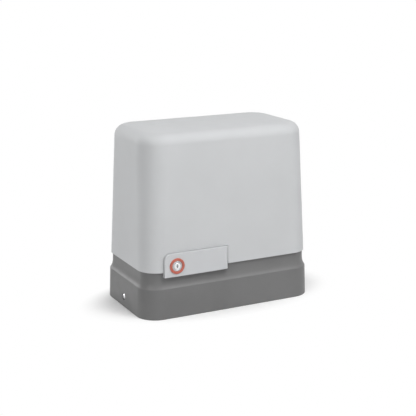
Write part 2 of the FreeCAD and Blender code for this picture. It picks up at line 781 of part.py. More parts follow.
def worm_shaft():
    start = -worm_thread_length / 2
    helix = Part.makeHelix(worm_pitch, worm_thread_length, worm_pitch_r)
    helix.translate(V(0, 0, start))
    thread = Part.Wire(helix.Edges).makePipeShell([worm_profile(start)], True, True)
    thread.translate(V(worm_x, worm_y, drive_z))
    root_r = worm_pitch_r - 1.2 * worm_module
    half = worm_thread_length / 2 + 4
    low_end = low_bearing_z + bearing_low[2]
    core = fuse([
        cyl_z(root_r, drive_z - half, drive_z + half, worm_x, worm_y),
        cyl_z(bearing_low[0], low_bearing_z + 0.5, low_end, worm_x, worm_y),
        cyl_z(bearing_low[0] + 1.5, low_end, drive_z, worm_x, worm_y),
        cyl_z(worm_shaft_r + 1, drive_z, high_bearing_z, worm_x, worm_y),
        cyl_z(worm_shaft_r, high_bearing_z, stator_top_z + 3, worm_x, worm_y),
        cyl_z(bearing_top[0] + 1, stator_top_z, shield_z, worm_x, worm_y),
        cyl_z(bearing_top[0], shield_z, motor_top_z - 1, worm_x, worm_y),
    ])
    save("worm_shaft", core.fuse(thread).Solids[0])


def wheel_section(y, twist):
    """Worm wheel outline at one height of the face, turned by the helix."""
    slope = math.tan(math.radians(pressure_angle))
    step = 2 * math.pi / wheel_teeth
    root_r = wheel_pitch_r - 1.25 * worm_module
    half_pitch = (worm_pitch / 2 - tooth_backlash / 2) / 2
    levels = [
        (root_r, half_pitch + 1.15 * worm_module * slope),
        (wheel_pitch_r, half_pitch),
        (wheel_tip_r, half_pitch - 1.12 * worm_module * slope),
    ]
    pts = []
    for i in range(wheel_teeth):
        centre = i * step + twist
        for r, half in levels:
            pts.append((r, centre - half / r))
        for r, half in reversed(levels):
            pts.append((r, centre + half / r))
    pts.append(pts[0])
    return Part.makePolygon([V(r * math.cos(a), y, -r * math.sin(a)) for r, a in pts])


lead_slope = worm_pitch / (2 * math.pi * worm_pitch_r)
wheel_phase = 180.0 / wheel_teeth
dog_count = 3
dog_height = 3.5
dog_y = wheel_front_y - 4.0
wheel_hub_r = 22.0


def dog_ring(y0, y1, start, sweep, r_in, r_out):
    """Dog teeth: sectors of a ring about the output axis."""
    dogs = []
    for i in range(dog_count):
        a0 = start + 360.0 / dog_count * i
        pie = Part.makeCylinder(r_out, y1 - y0, V(0, 0, 0), V(0, 1, 0), sweep)
        pie = pie.cut(Part.makeCylinder(r_in, y1 - y0, V(0, 0, 0), V(0, 1, 0)))
        pie.rotate(V(0, 0, 0), V(0, 1, 0), a0)
        pie.translate(V(drive_x, y0, drive_z))
        dogs.append(pie)
    return dogs


def worm_wheel():
    half = wheel_face / 2
    sections = []
    for dy in (-half, 0, half):
        twist = lead_slope * dy / wheel_pitch_r + math.radians(wheel_phase)
        sections.append(wheel_section(wheel_mid_y + dy, twist))
    rim = Part.makeLoft(sections, True, True)
    rim.translate(V(drive_x, 0, drive_z))
    body = rim.fuse(cyl_y(wheel_hub_r, dog_y, wheel_mid_y, drive_x, drive_z))
    # web recesses
    for y0, y1 in ((wheel_front_y - 1, wheel_front_y + 5),
                   (wheel_mid_y + half - 5, wheel_mid_y + half + 1)):
        body = body.cut(ring_y(wheel_pitch_r - 8, wheel_hub_r, y0, y1, drive_x, drive_z))
    body = body.fuse(dog_ring(dog_y - dog_height, dog_y, 0, 56, 15.0, wheel_hub_r))
    body = body.cut(cyl_y(shaft_mid_r + run_gap, dog_y - dog_height - 1,
                          wheel_mid_y + half + 1, drive_x, drive_z))
    save("worm_wheel", body.removeSplitter())


# ------------------------------------------------------------- output shaft
sleeve_front_y = dog_y - 16.0
sleeve_back_y = dog_y - 0.3
pin_y = dog_y - 10.0
collar_y = sleeve_front_y - 12.0


def output_shaft():
    wheel_back = wheel_mid_y + wheel_face / 2
    parts = [
        cyl_y(shaft_front_r, shaft_front_y, front_bearing_y + bearing_front[2],
              drive_x, drive_z),
        cyl_y(shaft_mid_r, front_bearing_y + bearing_front[2], wheel_back + 0.3,
              drive_x, drive_z),
        cyl_y(shaft_r + 2.5, wheel_back + 0.3, rear_bearing_y, drive_x, drive_z),
        cyl_y(shaft_r, rear_bearing_y, shaft_rear_y, drive_x, drive_z),
    ]
    body = fuse(parts)
    body = body.cut(cyl_y(rod_r + 0.1, shaft_front_y - 1, pin_y + 6, drive_x, drive_z))
    # slot for the cross pin of the release rod
    body = body.cut(box(drive_x - 20, drive_x + 20, pin_y - release_travel - 2.4,
                        pin_y + 2.4, drive_z - 2.1, drive_z + 2.1))
    # keyway under the pinion
    body = body.cut(box(drive_x - key_width / 2 - 0.02, drive_x + key_width / 2 + 0.02,
                        pinion_y + 1, pinion_y + pinion_face - 2,
                        drive_z + shaft_r - 4.0, drive_z + shaft_r + 1))
    # threaded hole for the pinion bolt
    body = body.cut(cyl_y(4.02, shaft_rear_y - 20, shaft_rear_y + 1, drive_x, drive_z))
    save("output_shaft", body)


def disc_springs(r_in, r_out, y0, y1):
    """Stack of conical disc springs, as one zigzag turned about the shaft."""
    count = 6
    thick = 0.9
    step = (y1 - y0 - thick) / count
    notch = thick * (r_out - r_in) / (2 * step)
    outer = [V(r_in, y0, 0)]
    inner = [V(r_in, y0 + thick, 0)]
    for i in range(1, count):
        y = y0 + i * step
        if i % 2:
            outer += [V(r_out, y, 0), V(r_out, y + thick, 0)]
            inner += [V(r_out - notch, y + thick / 2, 0)]
        else:
            outer += [V(r_in + notch, y + thick / 2, 0)]
            inner += [V(r_in, y, 0), V(r_in, y + thick, 0)]
    outer += [V(r_in, y1, 0)]
    inner += [V(r_in, y1 - thick, 0)]
    face = Part.Face(Part.makePolygon(outer + inner[::-1] + outer[:1]))
    body = face.revolve(V(0, 0, 0), V(0, 1, 0), 360)
    body.translate(V(drive_x, 0, drive_z))
    return body


def clutch():
    sleeve = ring_y(wheel_hub_r, shaft_mid_r + run_gap, sleeve_front_y,
                    dog_y - dog_height - 0.3, drive_x, drive_z)
    dogs = dog_ring(dog_y - dog_height - 0.4, sleeve_back_y, 60, 56, 15.0, wheel_hub_r)
    sleeve = sleeve.fuse(dogs)
    sleeve = sleeve.cut(ring_y(wheel_hub_r + 1, wheel_hub_r - 3, sleeve_front_y + 3,
                               sleeve_front_y + 8, drive_x, drive_z))
    hole = cyl_x(2.02, drive_x - 30, drive_x + 30, pin_y, drive_z)
    sleeve = sleeve.cut(hole)
    save("clutch_sleeve", sleeve.removeSplitter())
    rod_end = -57.0
    groove_front = -67.0
    rod = fuse([
        cyl_y(rod_r, rod_end, pin_y + 4, drive_x, drive_z),
        cyl_y(rod_r - 0.8, groove_front, rod_end, drive_x, drive_z),
        cyl_y(rod_r + 0.5, groove_front - 2.0, groove_front, drive_x, drive_z),
    ])
    cross = cyl_x(2.0, drive_x - wheel_hub_r + 4, drive_x + wheel_hub_r - 4,
                  pin_y, drive_z)
    save("release_rod", rod.fuse(cross).removeSplitter())
    save("clutch_spring", disc_springs(shaft_mid_r + 0.6, shaft_mid_r + 5,
                                       collar_y + 0.3, sleeve_front_y - 0.3))
    collar = ring_y(shaft_mid_r + 5, shaft_mid_r + press_gap, collar_y - 2, collar_y,
                    drive_x, drive_z)
    save("clutch_collar", collar)


# ------------------------------------------------------------------ motor
def stator():
    x, y = worm_x, worm_y
    stack = ring_z(stator_r, stator_bore_r, stator_z, stator_top_z, x, y)
    slot = box(x + stator_bore_r + 3, x + stator_r - 9, y - 3.2, y + 3.2,
               stator_z - 1, stator_top_z + 1)
    slot = slot.fuse(box(x + stator_bore_r - 1, x + stator_bore_r + 4, y - 1.2, y + 1.2,
                         stator_z - 1, stator_top_z + 1))
    for cut in around_z(slot, 12, x, y, 15):
        stack = stack.cut(cut)
    hole = cyl_z(tie_bolt_r + 0.3, stator_z - 1, stator_top_z + 1, x + stator_r, y)
    for cut in around_z(hole, 4, x, y, 45):
        stack = stack.cut(cut)
    save("stator_stack", stack)
    coils = []
    for z0, z1 in ((stator_z - winding_height + 1, stator_z),
                   (stator_top_z, stator_top_z + winding_height - 1)):
        ring = ring_z(stator_r - 8.5, stator_bore_r + 3, z0, z1, x, y)
        outer_z = z0 if z0 < stator_z - 1 else z1
        ring = soften(ring, 4.0, lambda p, level=outer_z: abs(p.z - level) < 0.001)
        coils.append(ring)
    save("stator_windings", coils)


def motor_top():
    x, y = worm_x, worm_y
    disc = cyl_z(stator_r + motor_rim_t, shield_z, motor_top_z, x, y)
    rim = ring_z(stator_r + motor_rim_t, stator_r - 4, stator_top_z, shield_z + 1, x, y)
    body = fuse([disc, rim, cyl_z(bearing_top[1] + 4, shield_z, motor_top_z + 3, x, y)])
    body = body.cut(cyl_z(bearing_top[1] + press_gap, shield_z - 1,
                          shield_z + bearing_top[2], x, y))
    window = box(x + stator_r - 6, x + stator_r + 6, y - 9, y + 9,
                 stator_top_z + 3, shield_z - 2)
    for cut in around_z(window, 4, x, y):
        body = body.cut(cut)
    vent = box(x + 24, x + 44, y - 2, y + 2, shield_z - 1, motor_top_z + 1)
    for cut in around_z(vent, 12, x, y, 15):
        body = body.cut(cut)
    hole = cyl_z(tie_bolt_r + 0.3, stator_top_z - 1, motor_top_z + 1, x + stator_r, y)
    for cut in around_z(hole, 4, x, y, 45):
        body = body.cut(cut)
    save("motor_end_shield", body.removeSplitter())
    bolt = cyl_z(tie_bolt_r, motor_flange_z + 1, motor_top_z, x + stator_r, y)
    bolt = bolt.fuse(cyl_z(4.0, motor_top_z, motor_top_z + 3.5, x + stator_r, y))
    bolt = bolt.cut(box(x + stator_r - 5, x + stator_r + 5, y - 0.6, y + 0.6,
                        motor_top_z + 2.2, motor_top_z + 5))
    save("motor_tie_screws", around_z(bolt, 4, x, y, 45))
    core = ring_z(stator_bore_r - air_gap, worm_shaft_r + press_gap,
                  stator_z, stator_top_z, x, y)
    ends = []
    for z0, z1 in ((stator_z - 4, stator_z), (stator_top_z, stator_top_z + 4)):
        ends.append(ring_z(stator_bore_r - 2, stator_bore_r - 10, z0, z1, x, y))
    save("rotor_core", fuse([core] + ends))


# ------------------------------------------------------------------ pinion
def involute_point(base_r, r):
    """Polar angle of the involute at radius r."""
    roll = math.acos(base_r / r)
    return math.tan(roll) - roll


def pinion_gear():
    pitch_r = pinion_module * pinion_teeth / 2
    tip_r = pitch_r + pinion_module
    root_r = pitch_r - 1.25 * pinion_module
    base_r = pitch_r * math.cos(math.radians(pressure_angle))
    flank_lo = max(base_r, root_r) + 0.05
    half_tooth = math.pi / (2 * pinion_teeth) + involute_point(base_r, pitch_r)
    step = 2 * math.pi / pinion_teeth

    def at(r, a):
        return V(drive_x + r * math.cos(a), pinion_y, drive_z + r * math.sin(a))

    edges = []
    radii = (flank_lo, (flank_lo + tip_r) / 2, tip_r)
    for i in range(pinion_teeth):
        mid = i * step
        left = [at(r, mid - half_tooth + involute_point(base_r, r)) for r in radii]
        right = [at(r, mid + half_tooth - involute_point(base_r, r)) for r in radii]
        foot_a = mid - half_tooth + involute_point(base_r, flank_lo)
        foot_b = mid + half_tooth - involute_point(base_r, flank_lo)
        edges.append(Part.makeLine(at(root_r, foot_a), left[0]))
        edges.append(Part.Arc(*left).toShape())
        edges.append(Part.Arc(left[2], at(tip_r, mid), right[2]).toShape())
        edges.append(Part.Arc(*reversed(right)).toShape())
        edges.append(Part.makeLine(right[0], at(root_r, foot_b)))
        next_a = foot_a + step
        edges.append(Part.Arc(at(root_r, foot_b), at(root_r, (foot_b + next_a) / 2),
                              at(root_r, next_a)).toShape())
    blank = Part.Face(Part.Wire(edges)).extrude(V(0, pinion_face, 0))
    blank = blank.cut(cyl_y(shaft_r + press_gap, pinion_y - 1,
                            pinion_y + pinion_face + 1, drive_x, drive_z))
    blank = blank.cut(ring_y(pinion_hub_r, shaft_r + 5, pinion_y + pinion_face - 3,
                             pinion_y + pinion_face + 1, drive_x, drive_z))
    slot_top = drive_z + shaft_r + key_height - 4.0 + 0.1
    blank = blank.cut(box(drive_x - key_width / 2 - 0.02, drive_x + key_width / 2 + 0.02,
                          pinion_y - 1, pinion_y + pinion_face + 1, drive_z, slot_top))
    save("drive_pinion", blank)
    key = box(drive_x - key_width / 2, drive_x + key_width / 2, pinion_y + 1.1,
              pinion_y + pinion_face - 2.1, drive_z + shaft_r - 3.98, slot_top - 0.1)
    save("pinion_key", key)
    washer = ring_y(17.0, 4.3, shaft_rear_y, shaft_rear_y + 3.0, drive_x, drive_z)
    save("pinion_washer", washer)
    head = hexagon_z(13, 0, 5.3, 0, 0)
    head.rotate(V(0, 0, 0), V(1, 0, 0), -90)
    head.translate(V(drive_x, shaft_rear_y + 3.0, drive_z))
    bolt = head.fuse(cyl_y(4.0, shaft_rear_y - 18, shaft_rear_y + 3, drive_x, drive_z))
    save("pinion_bolt", bolt)
    spacer = ring_y(shaft_r + 4, shaft_r + press_gap, hub_end_y + 0.5, pinion_y,
                    drive_x, drive_z)
    save("pinion_spacer", spacer)


# ------------------------------------------------------------- limit switch
def limit_switch():
    wand_z = (switch_z0 + switch_z1) / 2
    body = box(switch_x - 15, switch_x + 15, switch_y0, switch_y1, switch_z0, switch_z1)
    body = soften(body, 2.0, lambda p: p.z > switch_z1 - 0.001)
    body = body.cut(cyl_y(wand_shaft_r + run_gap, switch_y1 - 12, switch_y1 + 1,
                          switch_x, wand_z))
    body = body.fuse(box(switch_x - 9, switch_x + 9, switch_y0 - 5, switch_y0,
                         switch_z0 + 3, switch_z0 + 12))
    save("limit_switch_box", body.removeSplitter())
    shaft = cyl_y(wand_shaft_r, switch_y1 - 11, wand_hub_y + wand_hub_t,
                  switch_x, wand_z)
    hub = cyl_y(8.0, wand_hub_y - 3, wand_hub_y + wand_hub_t, switch_x, wand_z)
    socket = cyl_z(4.5, wand_z, wand_z + 14, switch_x, wand_hub_y + 3)
    save("limit_wand_hub", fuse([shaft, hub, socket]))
    z0 = wand_z + 14.05
    z1 = wand_top_z - 9.05
    turns = 20
    pitch = (z1 - z0) / turns
    profile = [V(0, 0, z0), V(wand_coil_r - 0.7, 0, z0)]
    for i in range(turns):
        profile.append(V(wand_coil_r, 0, z0 + (i + 0.3) * pitch))
        profile.append(V(wand_coil_r, 0, z0 + (i + 0.7) * pitch))
        profile.append(V(wand_coil_r - 0.7, 0, z0 + (i + 1) * pitch))
    core_top = wand_top_z - 8.0
    profile.append(V(2.3, 0, z1))
    profile.append(V(2.3, 0, core_top))
    profile.append(V(0, 0, core_top))
    face = Part.Face(Part.makePolygon(profile + profile[:1]))
    spring = face.revolve(V(0, 0, 0), V(0, 0, 1), 360)
    spring.translate(V(switch_x, wand_hub_y + 3, 0))
    tip = cyl_z(3.6, wand_top_z - 9, wand_top_z, switch_x, wand_hub_y + 3)
    tip = soften(tip, 2.0, lambda p: p.z > wand_top_z - 0.001)
    save("limit_wand_spring", spring)
    save("limit_wand_tip", tip.cut(cyl_z(2.4, wand_top_z - 10, wand_top_z - 7.9,
                                         switch_x, wand_hub_y + 3)))


# -------------------------------------------------------------- electronics
board_front = board_y - board_t
panel_y = board_y + standoff
button_x = (board_x1 - 14, board_x1 - 28)
button_z = board_z1 - 18
button_travel = 1.0
capacitor_x = (board_x0 + board_x1) / 2
capacitor_r = 20.0
capacitor_y = panel_y + panel_t + capacitor_r + 0.3
capacitor_z = 112.0
capacitor_h = 78.0


def board_panel():
    plate = box(board_x0 - 2, board_x1 + 2, panel_y, panel_y + panel_t,
                foot_z, board_z1 + 4)
    foot = box(board_x0 + 4, board_x1 - 4, panel_y, -8, foot_z, foot_z + 4)
    parts = [plate, foot]
    for x in (board_x0 + 8, board_x1 - 8):
        parts.append(box(x - 1.5, x + 1.5, panel_y + panel_t - 1, -8,
                         foot_z + 3, foot_z + 34))
        for z in (board_z0 + 6, board_z1 - 6):
            parts.append(cyl_y(4, board_y, panel_y + 1, x, z))
    body = fuse(parts)
    for x in (board_x0 + 8, board_x1 - 8):
        for z in (board_z0 + 6, board_z1 - 6):
            body = body.cut(cyl_y(1.5 + run_gap, board_y - 1, panel_y + panel_t - 1, x, z))
    for x, y in panel_screws:
        body = body.cut(cyl_z(2.3, foot_z - 1, foot_z + 5, x, y))
    window = box(board_x0 + 14, board_x1 - 14, panel_y - 1, panel_y + panel_t + 1,
                 foot_z + 14, board_z0 - 10)
    body = body.cut(window)
    save("board_bracket", body)
    screws = []
    for x, y in panel_screws:
        screw = cyl_z(4, foot_z + 4, foot_z + 7, x, y)
        screws.append(screw.fuse(cyl_z(2, 1.8, foot_z + 4, x, y)))
    save("bracket_floor_screws", screws)


def control_board():
    board = box(board_x0, board_x1, board_front, board_y, board_z0, board_z1)
    screws = []
    for x in (board_x0 + 8, board_x1 - 8):
        for z in (board_z0 + 6, board_z1 - 6):
            board = board.cut(cyl_y(1.7, board_front - 1, board_y + 1, x, z))
            screw = cyl_y(2.8, board_front - 2, board_front, x, z)
            screws.append(screw.fuse(cyl_y(1.5, board_front, panel_y + 1.5, x, z)))
    save("control_board", board)
    save("board_screws", screws)
    f = board_front
    core_x0 = board_x0 + 12
    core_x1 = board_x1 - 34
    core = box(core_x0, core_x1, f - 34, f - 4, board_z1 - 46, board_z1 - 10)
    coil = box(core_x0 + 6, core_x1 - 6, f - 38, f, board_z1 - 40, board_z1 - 16)
    coil = soften(coil, 4, lambda p: p.y < f - 37.9)
    save("transformer", fuse([core, coil]))
    relays = []
    relay_pitch = 0.2 * board_width
    for i in range(3):
        x = board_x0 + 10 + relay_pitch * i
        relay = box(x, x + relay_pitch - 3, f - 16, f, board_z0 + 34, board_z0 + 64)
        relays.append(soften(relay, 1.0, lambda p: p.y < f - 15.9))
    save("relays", relays)
    blocks = []
    block_pitch = (board_width - 10) / 5
    block_width = block_pitch - 0.6
    for i in range(5):
        x = board_x0 + 5 + block_pitch * i
        block = box(x, x + block_width, f - 14, f, board_z0 + 12, board_z0 + 24)
        for k in range(3):
            cx = x + block_width * (2 * k + 1) / 6
            block = block.cut(cyl_y(1.7, f - 15, f - 10, cx, board_z0 + 20))
            block = block.cut(box(cx - 1.6, cx + 1.6, f - 10, f - 5,
                                  board_z0 + 11, board_z0 + 16))
        blocks.append(block)
    save("terminal_blocks", blocks)
    x = board_x1 - 22
    fuse_body = box(x, x + 12, f - 6, f, board_z0 + 34, board_z0 + 60)
    fuse_tube = cyl_z(3.0, board_z0 + 35, board_z0 + 59, x + 6, f - 9)
    save("fuse_holder", fuse_body.fuse(fuse_tube))
    housings = []
    names = ("program_button", "learn_button")
    for name, bx in zip(names, button_x):
        housing = box(bx - 5, bx + 5, f - 5, f, button_z - 5, button_z + 5)
        housing = housing.cut(cyl_y(3.0 + run_gap, f - 6, f - 1.0, bx, button_z))
        housings.append(housing)
        cap = cyl_y(3.0, f - 9, f - 2.4, bx, button_z)
        save(name, soften(cap, 0.5, lambda p: p.y < f - 8.9))
    save("button_housings", housings)


def capacitor():
    x, y = capacitor_x, capacitor_y
    can = cyl_z(capacitor_r, capacitor_z, capacitor_z + capacitor_h, x, y)
    can = soften(can, 2.5, lambda p: p.z < capacitor_z + 0.001)
    can = can.fuse(cyl_z(capacitor_r - 4, capacitor_z + capacitor_h,
                         capacitor_z + capacitor_h + 3, x, y))
    for dx in (-6, 6):
        can = can.fuse(box(x + dx - 3, x + dx + 3, y - 0.5, y + 0.5,
                           capacitor_z + capacitor_h + 2, capacitor_z + capacitor_h + 11))
    save("run_capacitor", can)
    zc = capacitor_z + capacitor_h / 2
    band = ring_z(capacitor_r + 1.7, capacitor_r + 0.2, zc - 6, zc + 6, x, y)
    front_y = panel_y + panel_t
    band = band.cut(box(x - 40, x + 40, front_y - 6, front_y, zc - 7, zc + 7))
    for sx in (-1, 1):
        ear_in = 6 if sx > 0 else -26
        ear = box(x + ear_in, x + ear_in + 20, front_y, front_y + 1.5, zc - 6, zc + 6)
        band = band.fuse(ear.cut(cyl_z(capacitor_r + 0.2, zc - 7, zc + 7, x, y)))
    save("capacitor_clamp", band.removeSplitter())


base_housing()
levelling_screws()
cover_end_screws()
cover()
release_lever()
lever_pins()
lever_hinge_bracket()
release_yoke()
lock()
gearbox_case()
gearbox_front()
case_bolts()
bearings()
worm_shaft()
worm_wheel()
output_shaft()
clutch()
stator()
motor_top()
pinion_gear()
limit_switch()
board_panel()
control_board()
capacitor()
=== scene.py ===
"""Sliding gate motor: pieces, finishes and stage, laid out as an add-on."""

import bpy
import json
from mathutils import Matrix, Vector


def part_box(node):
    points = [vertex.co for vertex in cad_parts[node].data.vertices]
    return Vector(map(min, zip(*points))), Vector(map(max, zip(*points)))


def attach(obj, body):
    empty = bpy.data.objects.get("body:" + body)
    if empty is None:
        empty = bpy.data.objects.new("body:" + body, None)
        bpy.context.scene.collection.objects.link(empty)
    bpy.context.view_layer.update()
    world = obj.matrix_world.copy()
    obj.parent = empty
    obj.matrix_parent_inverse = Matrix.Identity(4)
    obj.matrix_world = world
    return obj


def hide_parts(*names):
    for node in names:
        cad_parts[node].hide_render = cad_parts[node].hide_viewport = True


bl_info = {
    "name": "Sliding gate motor",
    "version": (1, 0, 0),
    "blender": (4, 5, 0),
    "location": "View3D > Sidebar > Gate motor",
    "description": "Builds the cover, base, release lever, lock, limit wand and finishes",
    "category": "Add Mesh",
}

import json
import math

import bmesh
import bpy
from bpy.props import FloatProperty, FloatVectorProperty, IntProperty, PointerProperty
from bpy.types import Operator, Panel, PropertyGroup
from mathutils import Matrix, Vector

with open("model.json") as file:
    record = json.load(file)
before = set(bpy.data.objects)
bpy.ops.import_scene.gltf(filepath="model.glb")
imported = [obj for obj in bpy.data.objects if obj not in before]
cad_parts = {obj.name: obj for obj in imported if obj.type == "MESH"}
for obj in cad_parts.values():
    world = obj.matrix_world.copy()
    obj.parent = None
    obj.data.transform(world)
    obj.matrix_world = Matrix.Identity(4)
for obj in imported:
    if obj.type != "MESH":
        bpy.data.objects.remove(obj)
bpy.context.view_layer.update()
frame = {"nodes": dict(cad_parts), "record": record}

base_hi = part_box("base_housing")[1]
cover_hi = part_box("cover")[1]
lever_lo, lever_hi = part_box("release_lever")
lock_lo, lock_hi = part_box("lock_body")
bezel_lo, bezel_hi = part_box("lock_bezel_ring")
barrel_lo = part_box("lock_barrel")[0]
pinion_lo, pinion_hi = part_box("drive_pinion")
wand_lo, wand_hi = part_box("limit_wand_spring")
tip_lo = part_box("limit_wand_tip")[0]
switch_lo, switch_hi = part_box("limit_switch_box")


def mm(value):
    return value * 0.001


COVER_LEAN_X, COVER_LEAN_Y = mm(6.55), mm(6.94)     # lean of the cover's walls
BEVEL_FIT = 0.97                    # brings the bevelled top edge to its radius
LEVER_CORNER = mm(10)
LEVER_PAST_PIN = mm(6)              # from the hinge pin to the lever's end
COVE_POWER = 4.5                    # how early the cove turns upright
COVE_ROWS = (0.02, 0.05, 0.08, 0.12, 0.17, 0.22, 0.28, 0.35, 0.44, 0.54, 0.7, 1.0)
RIM_PLAY = mm(0.8)                  # between the cover and the rim inside it
RIM_STEP = mm(1.6)                  # the rim is this much thinner than the waist
FLOOR_ROOT = mm(5)                  # pads start below the floor's upper face
UNDER = mm(-1)                      # openings start below the foot
SLOT_X, SLOT_Y = mm(125), mm(55)    # foundation slots
LEVEL_X, LEVEL_Y = mm(98), mm(60)   # levelling screws
GEARBOX_FEET = ((-84, -26), (-84, 28), (36, -26), (36, 28))
BRACKET_FEET = ((66, -18), (126, -18))
SCREW_HEIGHT = mm(17.4)             # cover screws, above the foot
SCREW_SEAT = mm(2.8)                # depth of their seats in the end walls
BARREL_BACK = mm(-68.2)             # place of the lock barrel's back, along y


def length(label, text, value):
    return FloatProperty(name=label, description=text, default=value, unit="LENGTH",
                         precision=4)


def colour(label, text, value):
    return FloatVectorProperty(name=label, description=text, default=value,
                               subtype="COLOR", size=3, min=0.0, max=1.0)


# ------------------------------------------------------------------ settings
class GateMotorSizes(PropertyGroup):
    base_half_x: length("Base half length", "Centre to the end wall, at the foot",
                        base_hi[0])
    base_half_y: length("Base half depth", "Centre to the front wall, at the foot",
                        base_hi[1])
    base_corner: length("Base corner", "Corner radius of the foot", mm(33.6))
    ridge_height: length("Ridge height", "Height of the moulded ridge", mm(49.1))
    draft: length("Draft", "How far the skirt leans in at the ridge", mm(1.8))
    cove: length("Cove", "How far the cove runs in above the ridge", mm(5.0))
    shoulder: length("Shoulder", "Height of the base wall's top edge", mm(76.0))
    rim_top: length("Rim top", "Top of the locating rim inside the cover", base_hi[2])
    base_wall: length("Base wall", "Wall thickness at the waist", mm(4.0))
    base_floor: length("Base floor", "Thickness of the floor", mm(6.0))
    cover_half_x: length("Cover half length", "At the cover's lower edge", cover_hi[0])
    cover_half_y: length("Cover half depth", "At the cover's lower edge", mm(84.5))
    cover_foot: length("Cover foot", "Height of the cover's lower edge", mm(76.3))
    cover_top: length("Cover top", "Height of the cover's top", cover_hi[2])
    cover_wall: length("Cover wall", "Wall thickness of the cover", mm(3.0))
    corner_low: length("Corner, low", "Corner radius at the lower edge", mm(32.5))
    corner_high: length("Corner, high", "Corner radius at the top", mm(39.2))
    top_round: length("Top rounding", "Radius round the top edge", mm(18.5))
    gap: length("Gap", "Gap between the cover and the lever", mm(0.5))
    drive_x: length("Drive x", "Output axis, along the length",
                    (pinion_lo[0] + pinion_hi[0]) / 2)
    drive_z: length("Drive height", "Output axis, above the foot",
                    (pinion_lo[2] + pinion_hi[2]) / 2)
    hub: length("Hub room", "Radius of the opening round the hub", mm(34.2))
    corner_steps: IntProperty(name="Corner steps", default=18, min=4, max=48,
                              description="Segments in each rounded corner")


class GateMotorFinishes(PropertyGroup):
    cover_grey: colour("Cover", "Pale grey moulded cover", (0.60, 0.61, 0.62))
    lever_grey: colour("Lever", "Release lever plate", (0.605, 0.615, 0.63))
    base_grey: colour("Base", "Mid grey base", (0.184, 0.184, 0.184))
    ring_red: colour("Lock ring", "Ring round the lock", (0.50, 0.125, 0.085))
    key_power: FloatProperty(name="Key lamp", description="High front softbox, in watts",
                             default=24.0)
    front_power: FloatProperty(name="Front lamp", description="Front softbox, in watts",
                               default=8.5)
    left_power: FloatProperty(name="Left lamp", description="Left softbox, in watts",
                              default=10.5)
    back_power: FloatProperty(name="Back lamp", description="Rear softbox, in watts",
                              default=19.0)
    room: FloatProperty(name="Room light", description="Even light of the room",
                        default=0.02)


# ------------------------------------------------------------- mesh helpers
def rounded_plate(bm, half_x, half_y, corner, z, steps):
    """A flat rounded rectangle; returns its face."""
    made = bmesh.ops.create_grid(bm, x_segments=1, y_segments=1, size=1.0)
    bmesh.ops.scale(bm, vec=(half_x, half_y, 1), verts=made["verts"])
    bmesh.ops.translate(bm, vec=(0, 0, z), verts=made["verts"])
    done = bmesh.ops.bevel(bm, geom=made["verts"], offset=corner, segments=steps,
                           profile=0.5, affect="VERTICES", material=-1,
                           clamp_overlap=False)
    return [f for v in done["verts"] for f in v.link_faces][0]


def lofted(bm, outlines, steps):
    """Skin through a row of rounded rectangles, closed at both ends."""
    faces = [rounded_plate(bm, *o, steps) for o in outlines]
    loops = [list(f.edges) for f in faces]
    bmesh.ops.delete(bm, geom=faces[1:-1], context="FACES_ONLY")
    for low, high in zip(loops, loops[1:]):
        bmesh.ops.bridge_loops(bm, edges=low + high)
    bmesh.ops.recalc_face_normals(bm, faces=bm.faces)


def block(bm, x0, x1, y0, y1, z0, z1):
    """A box between two corners."""
    made = bmesh.ops.create_cube(bm, size=1.0)
    bmesh.ops.scale(bm, vec=(x1 - x0, y1 - y0, z1 - z0), verts=made["verts"])
    bmesh.ops.translate(bm, vec=((x0 + x1) / 2, (y0 + y1) / 2, (z0 + z1) / 2),
                        verts=made["verts"])


AXES = {"x": Matrix.Rotation(math.pi / 2, 4, "Y"),
        "y": Matrix.Rotation(math.pi / 2, 4, "X"),
        "z": Matrix.Identity(4)}


def rod(bm, axis, radius, start, end, centre, steps=48):
    """A round bar along an axis; centre gives the other two coordinates."""
    middle = list(centre)
    middle.insert("xyz".index(axis), (start + end) / 2)
    bmesh.ops.create_cone(
        bm, cap_ends=True, segments=steps, radius1=radius, radius2=radius,
        depth=end - start, matrix=Matrix.Translation(middle) @ AXES[axis])


def turned_ring(bm, profile, axis, centre, steps=96):
    """Spins a closed profile of (radius, place along the axis) in an empty bmesh."""
    spots = {"x": lambda r, a: (a, r, 0), "y": lambda r, a: (r, a, 0)}[axis]
    verts = [bm.verts.new(spots(r, a)) for r, a in profile]
    edges = [bm.edges.new((verts[i], verts[(i + 1) % len(verts)]))
             for i in range(len(verts))]
    way = {"x": (1, 0, 0), "y": (0, 1, 0)}[axis]
    bmesh.ops.spin(bm, geom=verts + edges, cent=(0, 0, 0), axis=way,
                   angle=2 * math.pi, steps=steps, use_merge=True)
    bmesh.ops.remove_doubles(bm, verts=bm.verts, dist=1e-6)
    middle = list(centre)
    middle.insert("xyz".index(axis), 0.0)
    bmesh.ops.translate(bm, vec=middle, verts=bm.verts)
    bmesh.ops.recalc_face_normals(bm, faces=bm.faces)


def round_edges(bm, edges, radius, segments, clamp=False):
    bmesh.ops.bevel(bm, geom=edges, offset=radius, segments=segments, profile=0.5,
                    affect="EDGES", material=-1, clamp_overlap=clamp)


def raised(bm, face, shift):
    """Pushes a face out into a closed prism and turns its faces outwards."""
    pushed = bmesh.ops.extrude_face_region(bm, geom=[face], use_keep_orig=True)
    moved = [v for v in pushed["geom"] if isinstance(v, bmesh.types.BMVert)]
    bmesh.ops.translate(bm, vec=shift, verts=moved)
    bmesh.ops.recalc_face_normals(bm, faces=bm.faces)


def cut_away(solid, shape, *args, **options):
    """Makes one shape and cuts it out of a solid."""
    tool = bmesh.new()
    shape(tool, *args, **options)
    return carve(solid, tool)


